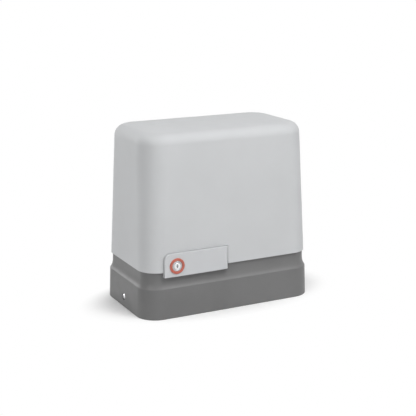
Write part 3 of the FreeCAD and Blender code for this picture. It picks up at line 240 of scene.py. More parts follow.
def piece(name, bm, body, finish, *nodes, sharp=30.0, weighted=False):
    """Makes the object, rides it on its body and hides the nodes it stands for."""
    mesh = bpy.data.meshes.new(name)
    bm.to_mesh(mesh)
    bm.free()
    mesh.polygons.foreach_set("use_smooth", [True] * len(mesh.polygons))
    mesh.set_sharp_from_angle(angle=math.radians(sharp))
    thing = bpy.data.objects.new(name, mesh)
    bpy.context.scene.collection.objects.link(thing)
    mesh.materials.append(bpy.data.materials[finish])
    if weighted:
        even = thing.modifiers.new("Even shading", "WEIGHTED_NORMAL")
        even.keep_sharp = True
    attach(thing, body)
    if nodes:
        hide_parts(*nodes)


def carve(solid, tools, operation="DIFFERENCE"):
    """Cuts or joins one mesh with another, and returns the new bmesh."""
    pair = []
    for label, source in (("Solid", solid), ("Tools", tools)):
        mesh = bpy.data.meshes.new(label)
        source.to_mesh(mesh)
        source.free()
        thing = bpy.data.objects.new(label, mesh)
        bpy.context.scene.collection.objects.link(thing)
        pair.append(thing)
    knife = pair[0].modifiers.new("Cut", "BOOLEAN")
    knife.operation = operation
    knife.solver = "EXACT"
    knife.use_self = True
    knife.object = pair[1]
    ready = pair[0].evaluated_get(bpy.context.evaluated_depsgraph_get())
    result = bmesh.new()
    result.from_mesh(ready.to_mesh())
    ready.to_mesh_clear()
    for thing in pair:
        mesh = thing.data
        bpy.data.objects.remove(thing)
        bpy.data.meshes.remove(mesh)
    bmesh.ops.remove_doubles(result, verts=result.verts, dist=2e-6)
    return result


# ----------------------------------------------------------------- finishes
def nodes_of(name):
    """A new material's node tree, its shader and the place on the object."""
    made = bpy.data.materials.new(name)
    made.use_nodes = True
    tree = made.node_tree
    place = tree.nodes.new("ShaderNodeTexCoord").outputs["Object"]
    return tree, tree.nodes["Principled BSDF"], place


def add(tree, kind, **sockets):
    node = tree.nodes.new(kind)
    for key, value in sockets.items():
        node.inputs[key.replace("_", " ")].default_value = value
    return node


def texture(tree, kind, place, **sockets):
    node = add(tree, kind, **sockets)
    tree.links.new(place, node.inputs["Vector"])
    return node


def ramped(tree, value, first, second, low=0.0, high=1.0):
    """Turns a value into a colour between two."""
    ramp = tree.nodes.new("ShaderNodeValToRGB")
    ramp.color_ramp.elements[0].position = low
    ramp.color_ramp.elements[0].color = (*first, 1)
    ramp.color_ramp.elements[1].position = high
    ramp.color_ramp.elements[1].color = (*second, 1)
    tree.links.new(value, ramp.inputs["Fac"])
    return ramp.outputs["Color"]


def calculated(tree, operation, first, second):
    node = tree.nodes.new("ShaderNodeMath")
    node.operation = operation
    tree.links.new(first, node.inputs[0])
    tree.links.new(second, node.inputs[1])
    return node.outputs["Value"]


def mixed(tree, share, first, second):
    node = tree.nodes.new("ShaderNodeMixShader")
    for source, socket in zip((share, first, second), node.inputs):
        tree.links.new(source, socket)
    return node.outputs["Shader"]


def mottled(tree, place, first, second, scale, low=0.35, high=0.65, detail=4.0):
    """Two close colours mixed by noise."""
    noise = texture(tree, "ShaderNodeTexNoise", place, Scale=scale, Detail=detail)
    return ramped(tree, noise.outputs["Fac"], first, second, low, high)


def ranged(tree, place, scale, low, high):
    """Noise mapped between two numbers."""
    noise = texture(tree, "ShaderNodeTexNoise", place, Scale=scale, Detail=3.0)
    spread = tree.nodes.new("ShaderNodeMapRange")
    spread.inputs["From Min"].default_value = 0.3
    spread.inputs["From Max"].default_value = 0.7
    spread.inputs["To Min"].default_value = low
    spread.inputs["To Max"].default_value = high
    tree.links.new(noise.outputs["Fac"], spread.inputs["Value"])
    return spread.outputs["Result"]


def bumped(tree, shader, heights, distance):
    """Bumps stacked one on the next."""
    last = None
    for height, depth in heights:
        bump = tree.nodes.new("ShaderNodeBump")
        bump.inputs["Strength"].default_value = 1.0
        bump.inputs["Distance"].default_value = depth * distance
        tree.links.new(height, bump.inputs["Height"])
        if last is not None:
            tree.links.new(last, bump.inputs["Normal"])
        last = bump.outputs["Normal"]
    tree.links.new(last, shader.inputs["Normal"])


def shade(hue, factor):
    return tuple(min(1.0, c * factor) for c in hue)


def moulded(name, hue, rough=0.45, grain=900.0, depth=0.00002, wave=0.0, vary=0.04,
            sheen=0.0, level=0.5):
    """Injection-moulded plastic: spark-eroded grain, faint flow marks."""
    tree, shader, place = nodes_of(name)
    tone = mottled(tree, place, shade(hue, 1 - vary), shade(hue, 1 + vary), 14.0)
    tree.links.new(tone, shader.inputs["Base Color"])
    tree.links.new(ranged(tree, place, 60.0, rough - 0.05, rough + 0.05),
                   shader.inputs["Roughness"])
    shader.inputs["Specular IOR Level"].default_value = level
    fine = texture(tree, "ShaderNodeTexNoise", place, Scale=grain, Detail=2.0)
    stack = [(fine.outputs["Fac"], 1.0)]
    if wave:
        slow = texture(tree, "ShaderNodeTexNoise", place, Scale=9.0, Detail=1.0)
        stack.append((slow.outputs["Fac"], wave))
    bumped(tree, shader, stack, depth)
    if sheen:
        shader.inputs["Sheen Weight"].default_value = sheen


def cast(name, hue, rough, metallic, depth=0.00025):
    """Sand or die cast alloy: pitted skin, with a blotchy darker and lighter tone."""
    tree, shader, place = nodes_of(name)
    tone = mottled(tree, place, shade(hue, 0.78), shade(hue, 1.08), 70.0, 0.3, 0.7, 8.0)
    tree.links.new(tone, shader.inputs["Base Color"])
    tree.links.new(ranged(tree, place, 120.0, rough - 0.1, rough + 0.12),
                   shader.inputs["Roughness"])
    shader.inputs["Metallic"].default_value = metallic
    pits = texture(tree, "ShaderNodeTexVoronoi", place, Scale=520.0)
    swell = texture(tree, "ShaderNodeTexNoise", place, Scale=160.0, Detail=6.0)
    bumped(tree, shader, [(pits.outputs["Distance"], 0.5), (swell.outputs["Fac"], 1.0)],
           depth)


def machined(name, hue, rough, direction, rings=False, lines=900.0, depth=0.00003):
    """Turned, ground or drawn metal: fine lines along or round the work."""
    tree, shader, place = nodes_of(name)
    tone = mottled(tree, place, shade(hue, 0.9), shade(hue, 1.06), 45.0)
    tree.links.new(tone, shader.inputs["Base Color"])
    tree.links.new(ranged(tree, place, 90.0, rough - 0.07, rough + 0.1),
                   shader.inputs["Roughness"])
    shader.inputs["Metallic"].default_value = 1.0
    cuts = texture(tree, "ShaderNodeTexWave", place, Scale=lines, Distortion=0.6,
                   Detail=2.0)
    cuts.wave_type = "RINGS" if rings else "BANDS"
    if rings:
        cuts.rings_direction = direction
    else:
        cuts.bands_direction = direction
    bumped(tree, shader, [(cuts.outputs["Color"], 1.0)], depth)


def laminated(name):
    """Stacked steel sheets seen on edge."""
    tree, shader, place = nodes_of(name)
    sheets = texture(tree, "ShaderNodeTexWave", place, Scale=320.0, Distortion=0.15,
                     Detail=1.0)
    sheets.bands_direction = "Z"
    tone = ramped(tree, sheets.outputs["Color"], (0.10, 0.095, 0.09),
                  (0.34, 0.34, 0.35), low=0.1)
    tree.links.new(tone, shader.inputs["Base Color"])
    tree.links.new(ranged(tree, place, 80.0, 0.35, 0.55), shader.inputs["Roughness"])
    shader.inputs["Metallic"].default_value = 0.9
    bumped(tree, shader, [(sheets.outputs["Color"], 1.0)], 0.00012)


def wound(name):
    """Enamelled copper wire, laid in bundles round the stator."""
    tree, shader, place = nodes_of(name)
    turns = texture(tree, "ShaderNodeTexWave", place, Scale=210.0, Distortion=2.2,
                    Detail=2.0)
    turns.bands_direction = "Z"
    tone = ramped(tree, turns.outputs["Color"], (0.12, 0.03, 0.01), (0.62, 0.25, 0.09))
    tree.links.new(tone, shader.inputs["Base Color"])
    tree.links.new(ranged(tree, place, 130.0, 0.22, 0.38), shader.inputs["Roughness"])
    shader.inputs["Metallic"].default_value = 0.75
    shader.inputs["Coat Weight"].default_value = 0.5
    bumped(tree, shader, [(turns.outputs["Color"], 1.0)], 0.0004)


def printed_board(name):
    """Green solder mask over copper tracks, with tinned pads."""
    tree, shader, place = nodes_of(name)
    turn = tree.nodes.new("ShaderNodeMapping")
    turn.inputs["Rotation"].default_value = (math.radians(90), 0, 0)
    tree.links.new(place, turn.inputs["Vector"])
    tracks = texture(tree, "ShaderNodeTexBrick", turn.outputs["Vector"], Scale=95.0)
    tracks.inputs["Mortar Size"].default_value = 0.06
    tracks.inputs["Color1"].default_value = (0.012, 0.115, 0.045, 1)
    tracks.inputs["Color2"].default_value = (0.010, 0.095, 0.038, 1)
    tracks.inputs["Mortar"].default_value = (0.03, 0.22, 0.08, 1)
    tree.links.new(tracks.outputs["Color"], shader.inputs["Base Color"])
    tree.links.new(ranged(tree, place, 70.0, 0.22, 0.34), shader.inputs["Roughness"])
    bumped(tree, shader, [(tracks.outputs["Fac"], 1.0)], 0.00006)


def make_finishes(values):
    moulded("cover_plastic", values.cover_grey, rough=0.58, wave=3.0, vary=0.012,
            level=0.25)
    moulded("lever_plastic", values.lever_grey, rough=0.50, vary=0.012, level=0.3)
    moulded("base_plastic", values.base_grey, rough=0.38, grain=620.0, depth=0.000012,
            vary=0.05, level=0.22)
    moulded("lock_ring_red", values.ring_red, rough=0.32, vary=0.06)
    moulded("black_plastic", (0.018, 0.018, 0.019), rough=0.42, vary=0.2)
    moulded("grey_plastic", (0.11, 0.112, 0.116), rough=0.46, vary=0.08)
    moulded("terminal_green", (0.02, 0.24, 0.07), rough=0.36, vary=0.1)
    moulded("relay_blue", (0.015, 0.07, 0.30), rough=0.30, vary=0.08)
    moulded("button_red", (0.45, 0.02, 0.015), rough=0.35, vary=0.08)
    moulded("capacitor_white", (0.72, 0.72, 0.70), rough=0.34, vary=0.03)
    moulded("seal_rubber", (0.022, 0.021, 0.020), rough=0.72, grain=300.0,
            depth=0.0001, vary=0.25, sheen=0.15, level=0.3)
    moulded("gasket_paper", (0.10, 0.13, 0.11), rough=0.85, grain=400.0,
            depth=0.0001, vary=0.2, level=0.2)
    cast("cast_alloy", (0.36, 0.37, 0.38), rough=0.56, metallic=0.6)
    machined("bright_steel", (0.55, 0.55, 0.56), rough=0.28, direction="Z")
    machined("turned_steel", (0.42, 0.42, 0.43), rough=0.34, direction="Y", rings=True)
    machined("gear_bronze", (0.60, 0.37, 0.15), rough=0.30, direction="Y", rings=True)
    machined("chrome_face", (0.50, 0.50, 0.51), rough=0.24, direction="Y", rings=True,
             lines=1500.0, depth=0.00001)
    laminated("lamination")
    wound("copper_wire")
    printed_board("board_green")


def seen_directly(tree):
    """1 for camera, glossy and transmission rays, 0 for the rest."""
    path = tree.nodes.new("ShaderNodeLightPath")
    plain = calculated(tree, "MAXIMUM", path.outputs["Is Camera Ray"],
                       path.outputs["Is Glossy Ray"])
    return calculated(tree, "MAXIMUM", plain, path.outputs["Is Transmission Ray"])


SLOT_FINISH = {
    "cast_base": "base_plastic", "cover_shell": "cover_plastic",
    "lever_shell": "lever_plastic", "ring_red": "lock_ring_red",
    "bright_steel": "bright_steel", "turned_steel": "turned_steel",
    "cast_alloy": "cast_alloy", "gear_bronze": "gear_bronze",
    "lamination": "lamination", "copper_wire": "copper_wire",
    "black_plastic": "black_plastic", "grey_plastic": "grey_plastic",
    "board_green": "board_green", "terminal_green": "terminal_green",
    "relay_blue": "relay_blue", "button_red": "button_red",
    "white_can": "capacitor_white", "seal_rubber": "seal_rubber",
    "gasket_paper": "gasket_paper",
}


class GATEMOTOR_OT_finishes(Operator):
    """Make the finishes and give each carried-over solid its own"""
    bl_idname = "gate_motor.finishes"
    bl_label = "Finishes"

    def execute(self, context):
        make_finishes(context.scene.gate_motor_finishes)
        for part in frame["record"]["subparts"]:
            finish = bpy.data.materials[SLOT_FINISH[part["material_slot"]]]
            thing = frame["nodes"][part["node"]]
            if not thing.material_slots:
                thing.data.materials.append(finish)
            for place in thing.material_slots:
                place.material = finish
        return {"FINISHED"}


# -------------------------------------------------------------------- cover
def cover_skin(sizes, inset, foot, top, rounding):
    """Closed tapered box with rounded corners and a rounded top."""
    bm = bmesh.new()
    rise = sizes.cover_top - sizes.cover_foot
    outlines = []
    for z in (foot, top):
        share = (z - sizes.cover_foot) / rise
        corner = sizes.corner_low + share * (sizes.corner_high - sizes.corner_low)
        outlines.append((sizes.cover_half_x - inset - COVER_LEAN_X * share,
                         sizes.cover_half_y - inset - COVER_LEAN_Y * share,
                         corner - inset, z))
    lofted(bm, outlines, sizes.corner_steps)
    rim = [e for e in bm.edges if all(abs(v.co.z - top) < 1e-6 for v in e.verts)]
    round_edges(bm, rim, rounding * BEVEL_FIT, 14)
    return bm


def lever_shape(bm, grow, left, right, low, high, front, back):
    """Front outline of the lever, square but for its rounded top left corner."""
    made = bmesh.ops.create_grid(bm, x_segments=1, y_segments=1, size=0.5)
    verts = made["verts"]
    bmesh.ops.scale(bm, vec=(right - left + 2 * grow, high - low + 2 * grow, 1),
                    verts=verts)
    bmesh.ops.rotate(bm, cent=(0, 0, 0), matrix=AXES["y"], verts=verts)
    bmesh.ops.translate(bm, vec=((left + right) / 2, front, (low + high) / 2),
                        verts=verts)
    corner = [v for v in verts if v.co.x < (left + right) / 2
              and v.co.z > (low + high) / 2]
    done = bmesh.ops.bevel(bm, geom=corner, offset=LEVER_CORNER + grow, segments=12,
                           profile=0.5, affect="VERTICES", material=-1)
    face = [f for v in done["verts"] for f in v.link_faces][0]
    raised(bm, face, (0, back - front, 0))


class GATEMOTOR_OT_cover(Operator):
    """Build the cover: a thin tapered shell with the lever notch and hub arch"""
    bl_idname = "gate_motor.cover"
    bl_label = "Cover"

    def execute(self, context):
        s = context.scene.gate_motor_sizes
        wall, foot = s.cover_wall, s.cover_foot
        shell = carve(cover_skin(s, 0.0, foot, s.cover_top, s.top_round),
                      cover_skin(s, wall, foot - mm(2), s.cover_top - wall,
                                 s.top_round - wall))
        shell = cut_away(shell, lever_shape, s.gap, lever_lo[0],
                         s.drive_x + LEVER_PAST_PIN, foot - mm(3), lever_hi[2],
                         -s.cover_half_y - mm(2), -s.cover_half_y + mm(12))
        y0, y1 = s.cover_half_y - mm(14), s.cover_half_y + mm(2)
        shell = cut_away(shell, rod, "y", s.hub, y0, y1, (s.drive_x, s.drive_z),
                         steps=128)
        shell = cut_away(shell, block, s.drive_x - s.hub, s.drive_x + s.hub,
                         y0 - mm(0.1), y1 + mm(0.1), foot - mm(3), s.drive_z)
        wand_z = (switch_lo[2] + switch_hi[2]) / 2
        wand_room = mm(6)
        shell = cut_away(shell, rod, "y", wand_room, y0, y1, (s.drive_x, wand_z),
                         steps=64)
        shell = cut_away(shell, block, s.drive_x - wand_room, s.drive_x + wand_room,
                         y0, y1, s.drive_z, wand_z)
        edge = [e for e in shell.edges if e.calc_face_angle(0) > math.radians(60)]
        round_edges(shell, edge, mm(0.35), 2, clamp=True)
        piece("cover_shell", shell, "cover", "cover_plastic", "cover",
              sharp=35, weighted=True)
        self.tabs(s)
        return {"FINISHED"}

    def tabs(self, s):
        """Straps inside the cover's ends, forked round the two screws."""
        half, slit, top = mm(10), mm(3), mm(114)
        outer, end = s.base_half_x - mm(9.6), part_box("cover")[1][0]
        tabs = bmesh.new()
        for side in (-1, 1):
            strap = sorted((side * outer, side * (outer - mm(3))))
            block(tabs, *strap, -half, half, SCREW_HEIGHT, top)
            for prong in ((-half, -slit), (slit, half)):
                block(tabs, *strap, *prong, mm(10), mm(17.5))
            rib = sorted((side * (outer - mm(0.5)), side * (end - mm(3.9))))
            block(tabs, *rib, -half, half, mm(86), top)
        piece("cover_tabs", tabs, "cover", "cover_plastic")


# --------------------------------------------------------------------- base
class GATEMOTOR_OT_base(Operator):
    """Build the base: skirt, ridge, cove, rim, floor, pads, bosses and openings"""
    bl_idname = "gate_motor.base"
    bl_label = "Base"

    def execute(self, context):
        s = context.scene.gate_motor_sizes
        inset = s.draft + s.cove + s.base_wall - RIM_STEP
        rim = self.rim(s)
        inner = (s.base_half_x - inset, s.base_half_y - inset, rim[2] - RIM_STEP)
        body = bmesh.new()
        lofted(body, self.rows(s) + [(*rim, s.shoulder), (*rim, s.rim_top)],
               s.corner_steps)
        body = cut_away(body, lofted, [(*inner, s.base_floor),
                                       (*inner, s.rim_top + mm(2))], s.corner_steps)
        body = carve(body, self.pads(inner), "UNION")
        body = carve(body, self.openings(s, inner))
        piece("base_shell", body, "base", "base_plastic", "base_housing",
              sharp=22, weighted=True)
        return {"FINISHED"}

    def rim(self, s):
        """Half sizes and corner of the rim that locates the cover."""
        step = s.cover_wall + RIM_PLAY
        return s.cover_half_x - step, s.cover_half_y - step, s.corner_low - step

    def rows(self, s):
        """Outlines from the foot over the ridge and up the cove."""
        places = [(mm(0.8), 0.0), (mm(0.25), mm(0.25)), (0.0, mm(0.9)),
                  (s.draft, s.ridge_height - mm(0.7))]
        for share in COVE_ROWS:
            places.append((s.draft + s.cove * (1 - (1 - share) ** COVE_POWER),
                           s.ridge_height + share * (s.shoulder - s.ridge_height)))
        return [(s.base_half_x - inset, s.base_half_y - inset, s.base_corner - inset, z)
                for inset, z in places]

    def pads(self, inner):
        """Thick places, pads and ribs that stand on the floor."""
        adds = bmesh.new()
        for sx in (-1, 1):
            for sy in (-1, 1):
                self.slot(adds, sx * SLOT_X, sy * SLOT_Y, mm(36), mm(24),
                          FLOOR_ROOT, mm(8))
                rod(adds, "z", mm(10), FLOOR_ROOT, mm(14), (sx * LEVEL_X, sy * LEVEL_Y))
            ends = sorted((sx * (inner[0] - mm(3.8)), sx * (inner[0] - mm(11.8))))
            block(adds, *ends, mm(-8), mm(8), FLOOR_ROOT, mm(26.4))
        for feet, radius in ((GEARBOX_FEET, mm(12)), (BRACKET_FEET, mm(6))):
            for px, py in feet:
                rod(adds, "z", radius, FLOOR_ROOT, mm(10), (mm(px), mm(py)))
        block(adds, mm(58), mm(122), mm(-6), mm(40), FLOOR_ROOT, mm(14))
        block(adds, mm(-112), mm(-86), -inner[1] - mm(1), mm(-68.5), FLOOR_ROOT, mm(66))
        for px in (-60, 60):
            block(adds, mm(px - 2), mm(px + 2), inner[1] - mm(6), inner[1] + mm(1),
                  FLOOR_ROOT, mm(62))
        return adds

    def openings(self, s, inner):
        """Slots, screw holes, cable entry, lever notch and hub arch."""
        x, y = s.base_half_x, s.base_half_y
        cuts = bmesh.new()
        for sx in (-1, 1):
            for sy in (-1, 1):
                self.slot(cuts, sx * SLOT_X, sy * SLOT_Y, mm(22), mm(10), UNDER, mm(9))
                rod(cuts, "z", mm(5.05), UNDER, mm(15), (sx * LEVEL_X, sy * LEVEL_Y))
            seat = sorted((sx * (x + mm(1)), sx * (x - SCREW_SEAT)))
            rod(cuts, "x", mm(5.8), *seat, (0, SCREW_HEIGHT), steps=40)
            hole = sorted((sx * (x - SCREW_SEAT + mm(0.1)), sx * (inner[0] - mm(13))))
            rod(cuts, "x", mm(2.55), *hole, (0, SCREW_HEIGHT), steps=24)
        for feet, radius in ((GEARBOX_FEET, mm(4.05)), (BRACKET_FEET, mm(2.05))):
            for px, py in feet:
                rod(cuts, "z", radius, mm(1.5), mm(11), (mm(px), mm(py)), steps=24)
        block(cuts, mm(62), mm(118), mm(-2), mm(36), UNDER, mm(15))
        block(cuts, lever_lo[0] - s.gap, s.drive_x + LEVER_PAST_PIN + s.gap, -y - mm(1),
              -inner[1] + mm(1), lever_lo[2] - s.gap, s.rim_top + mm(1))
        rod(cuts, "y", s.hub, inner[1] - mm(1), y + mm(1), (s.drive_x, s.drive_z),
            steps=128)
        for dx in (-5, 5):
            rod(cuts, "y", mm(1.55), -inner[1] - mm(3), -inner[1] + mm(1),
                (s.drive_x + mm(dx), mm(54)), steps=16)
        return cuts

    def slot(self, bm, x, y, long, wide, z0, z1):
        """An upright slot-shaped prism, with round ends."""
        face = rounded_plate(bm, long / 2, wide / 2, wide / 2 * 0.999, z0, 10)
        bmesh.ops.translate(bm, vec=(x, y, 0), verts=list(face.verts))
        raised(bm, face, (0, 0, z1 - z0))


# ------------------------------------------------------- lever and its lock
class GATEMOTOR_OT_lever(Operator):
    """Build the release lever, with its hollow back and hinge slots"""
    bl_idname = "gate_motor.lever"
    bl_label = "Release lever"

    def execute(self, context):
        s = context.scene.gate_motor_sizes
        front, back = lever_lo[1], lever_lo[1] + mm(8)
        pivot_x, pivot_y = s.drive_x, front + mm(6)
        low, high = lever_lo[2], lever_hi[2]
        body = bmesh.new()
        lever_shape(body, 0.0, lever_lo[0], pivot_x + LEVER_PAST_PIN, low, high,
                    front, back)
        round_end = [e for e in body.edges
                     if all(v.co.x > pivot_x for v in e.verts)
                     and all(v.co.y < front + mm(1) for v in e.verts)]
        round_edges(body, round_end, LEVER_PAST_PIN, 12)
        soft = [e for e in body.edges
                if all(v.co.y < front + mm(0.01) for v in e.verts)
                and e.calc_face_angle(0) > math.radians(30)]
        round_edges(body, soft, mm(0.9), 4, clamp=True)
        cuts = bmesh.new()
        lock_x = (lock_lo[0] + lock_hi[0]) / 2
        lock_z = (lock_lo[2] + lock_hi[2]) / 2
        lock_boss, edge = mm(12.6), mm(4)
        block(cuts, lever_lo[0] + edge, lock_x - lock_boss, back - mm(5), back + mm(1),
              low + edge, high - mm(12))
        block(cuts, lock_x + lock_boss, pivot_x - mm(16), back - mm(5), back + mm(1),
              low + edge, high - edge)
        rod(cuts, "y", mm(8.62), front - mm(1), back + mm(1), (lock_x, lock_z), steps=64)
        body = carve(body, cuts)
        knuckle, past = mm(3.3), pivot_x + mm(7)
        for z in (low + mm(8), high - mm(12)):
            z0, z1 = z - mm(0.3), z + mm(4.3)
            body = cut_away(body, block, pivot_x - knuckle, past, pivot_y,
                            back + mm(5), z0, z1)
            body = cut_away(body, block, pivot_x, past, pivot_y - knuckle,
                            pivot_y + mm(1), z0, z1)
            body = cut_away(body, rod, "z", knuckle, z0 - mm(0.01), z1 + mm(0.01),
                            (pivot_x, pivot_y), steps=32)
        body = cut_away(body, block, pivot_x - mm(9.2), past, pivot_y - mm(1.8),
                        back + mm(5), s.drive_z - mm(1.8), s.drive_z + mm(1.8))
        body = cut_away(body, rod, "z", mm(1.3), low + mm(2), high + mm(1),
                        (pivot_x, pivot_y), steps=24)
        piece("lever_plate", body, "release_lever", "lever_plastic", "release_lever",
              sharp=32, weighted=True)
        return {"FINISHED"}


class GATEMOTOR_OT_lock(Operator):
    """Build the lock: red ring, plated body and barrel with its key slot"""
    bl_idname = "gate_motor.lock"
    bl_label = "Lever lock"

    def execute(self, context):
        centre = ((bezel_lo[0] + bezel_hi[0]) / 2, (bezel_lo[2] + bezel_hi[2]) / 2)
        outer = (bezel_hi[0] - bezel_lo[0]) / 2
        front, back = bezel_lo[1], bezel_hi[1]
        sleeve = (lock_hi[0] - lock_lo[0]) / 2
        hole = sleeve + mm(0.1)
        ring = bmesh.new()
        turned_ring(ring, [(hole, back), (hole, front + mm(0.5)),
                           (hole + mm(0.15), front + mm(0.15)),
                           (hole + mm(0.5), front), (outer - mm(0.9), front),
                           (outer - mm(0.4), front + mm(0.12)),
                           (outer - mm(0.1), front + mm(0.42)),
                           (outer, front + mm(0.9)), (outer, back)],
                    "y", centre)
        piece("lock_ring", ring, "release_lever", "lock_ring_red", "lock_bezel_ring",
              sharp=50)
        body = bmesh.new()
        inner = mm(5.55)
        y0, y1 = lock_lo[1], lock_hi[1]
        turned_ring(body, [(inner, y1), (inner, y0 + mm(0.9)),
                           (inner + mm(0.7), y0 + mm(0.25)),
                           (inner + mm(1.1), y0 + mm(0.2)),
                           (sleeve - mm(0.8), y0), (sleeve - mm(0.3), y0 + mm(0.1)),
                           (sleeve, y0 + mm(0.4)), (sleeve, y1)], "y", centre)
        piece("lock_sleeve", body, "release_lever", "chrome_face", "lock_body", sharp=40)
        barrel = bmesh.new()
        face = barrel_lo[1]
        rod(barrel, "y", mm(5.5), face, BARREL_BACK, centre, steps=64)
        edge = [e for e in barrel.edges
                if all(v.co.y < face + mm(0.01) for v in e.verts)]
        round_edges(barrel, edge, mm(0.35), 3)
        key_thick, key_wide, stem = mm(0.55), mm(3.0), mm(2)
        barrel = cut_away(barrel, block, centre[0] - key_thick, centre[0] + key_thick,
                          face - mm(1), face + mm(9), centre[1] - key_wide,
                          centre[1] + key_wide)
        barrel = cut_away(barrel, rod, "y", mm(1.7), face - mm(1), face + mm(9), centre,
                          steps=32)
        block(barrel, centre[0] - stem, centre[0] + stem, BARREL_BACK - mm(0.1),
              BARREL_BACK + mm(4), centre[1] - stem, centre[1] + stem)
        piece("lock_cylinder", barrel, "lock", "bright_steel", "lock_barrel", sharp=40)
        return {"FINISHED"}


# -------------------------------------------------------------------- screws
class GATEMOTOR_OT_screws(Operator):
    """Build the two cover screws, pan headed with a cross recess"""
    bl_idname = "gate_motor.screws"
    bl_label = "Cover screws"

    def execute(self, context):
        s = context.scene.gate_motor_sizes
        screws = bmesh.new()
        for side in (-1, 1):
            one = self.screw()
            if side < 0:
                bmesh.ops.rotate(one, cent=(0, 0, 0), verts=one.verts,
                                 matrix=Matrix.Rotation(math.pi, 3, "Z"))
            bmesh.ops.translate(one, verts=one.verts,
                                vec=(side * (s.base_half_x - SCREW_SEAT), 0,
                                     SCREW_HEIGHT))
            mesh = bpy.data.meshes.new("Screw")
            one.to_mesh(mesh)
            one.free()
            screws.from_mesh(mesh)
            bpy.data.meshes.remove(mesh)
        piece("cover_screws", screws, "base", "bright_steel", "cover_end_screws",
              sharp=35)
        return {"FINISHED"}

    def screw(self):
        """One screw along x, with the seat of its head at the origin."""
        shank, head, middle = mm(2.5), mm(4.2), mm(0.01)
        one = bmesh.new()
        turned_ring(one, [(middle, mm(-12)), (shank, mm(-12)), (shank, 0), (head, 0),
                          (head, mm(1.2)), (mm(3.7), mm(1.9)), (mm(2.6), mm(2.4)),
                          (mm(1.2), mm(2.6)), (middle, mm(2.6))], "x", (0, 0), steps=48)
        wide, thin = mm(2.3), mm(0.45)
        cuts = bmesh.new()
        block(cuts, mm(1.3), mm(3), -wide, wide, -thin, thin)
        block(cuts, mm(1.31), mm(3.01), -thin, thin, -wide, wide)
        return carve(one, cuts)


# ---------------------------------------------------------------- limit wand
class GATEMOTOR_OT_wand(Operator):
    """Build the limit wand's close-wound spring and the core inside it"""
    bl_idname = "gate_motor.wand"
    bl_label = "Limit wand"

    def execute(self, context):
        cx = (wand_lo[0] + wand_hi[0]) / 2
        cy = (wand_lo[1] + wand_hi[1]) / 2
        wire = mm(0.95)
        coil = (wand_hi[0] - wand_lo[0]) / 2 - wire
        z0, z1 = wand_lo[2] + wire, tip_lo[2] - wire
        turns = int((z1 - z0) / (2 * wire * 1.02))
        spring = bmesh.new()
        steps = turns * 18
        made = bmesh.ops.create_circle(
            spring, segments=8, radius=wire,
            matrix=Matrix.Translation((coil, 0, 0)) @ AXES["y"])
        ring = made["verts"] + list({e for v in made["verts"] for e in v.link_edges})
        bmesh.ops.spin(spring, geom=ring, cent=(0, 0, 0), axis=(0, 0, 1),
                       dvec=(0, 0, (z1 - z0) / steps), angle=2 * math.pi * turns,
                       steps=steps)
        holes = [e for e in spring.edges if e.is_boundary]
        bmesh.ops.holes_fill(spring, edges=holes, sides=0)
        bmesh.ops.translate(spring, vec=(cx, cy, z0), verts=spring.verts)
        bmesh.ops.recalc_face_normals(spring, faces=spring.faces)
        rod(spring, "z", mm(2.2), wand_lo[2], tip_lo[2] + mm(1), (cx, cy), steps=24)
        piece("wand_spring", spring, "limit_wand", "bright_steel", "limit_wand_spring",
              sharp=60)
        return {"FINISHED"}


# --------------------------------------------------------------- board parts
class GATEMOTOR_OT_board_parts(Operator):
    """Add the small parts soldered to the control board"""
    bl_idname = "gate_motor.board_parts"
    bl_label = "Board parts"

    def execute(self, context):
        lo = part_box("control_board")[0]
        face = lo[1]
        chips = bmesh.new()
        for x, z, wide, high in ((10, 70, 14, 14), (32, 70, 10, 8), (66, 14, 8, 8),
                                 (44, 100, 8, 6)):
            block(chips, lo[0] + mm(x), lo[0] + mm(x + wide), face - mm(2), face,
                  lo[2] + mm(z), lo[2] + mm(z + high))
        edge = [e for e in chips.edges if all(v.co.y < face - mm(1.9) for v in e.verts)]
        round_edges(chips, edge, mm(0.3), 2)
        piece("board_chips", chips, "base", "black_plastic", sharp=30)
        cans = bmesh.new()
        for x, z, radius, long in ((70, 72, 4, 11), (60, 90, 3, 8), (76, 86, 3, 8)):
            rod(cans, "y", mm(radius), face - mm(long), face,
                (lo[0] + mm(x), lo[2] + mm(z)), steps=32)
        edge = [e for e in cans.edges if all(v.co.y < face - mm(6) for v in e.verts)]
        round_edges(cans, edge, mm(0.5), 3)
        piece("board_cans", cans, "base", "black_plastic", sharp=30)
        return {"FINISHED"}


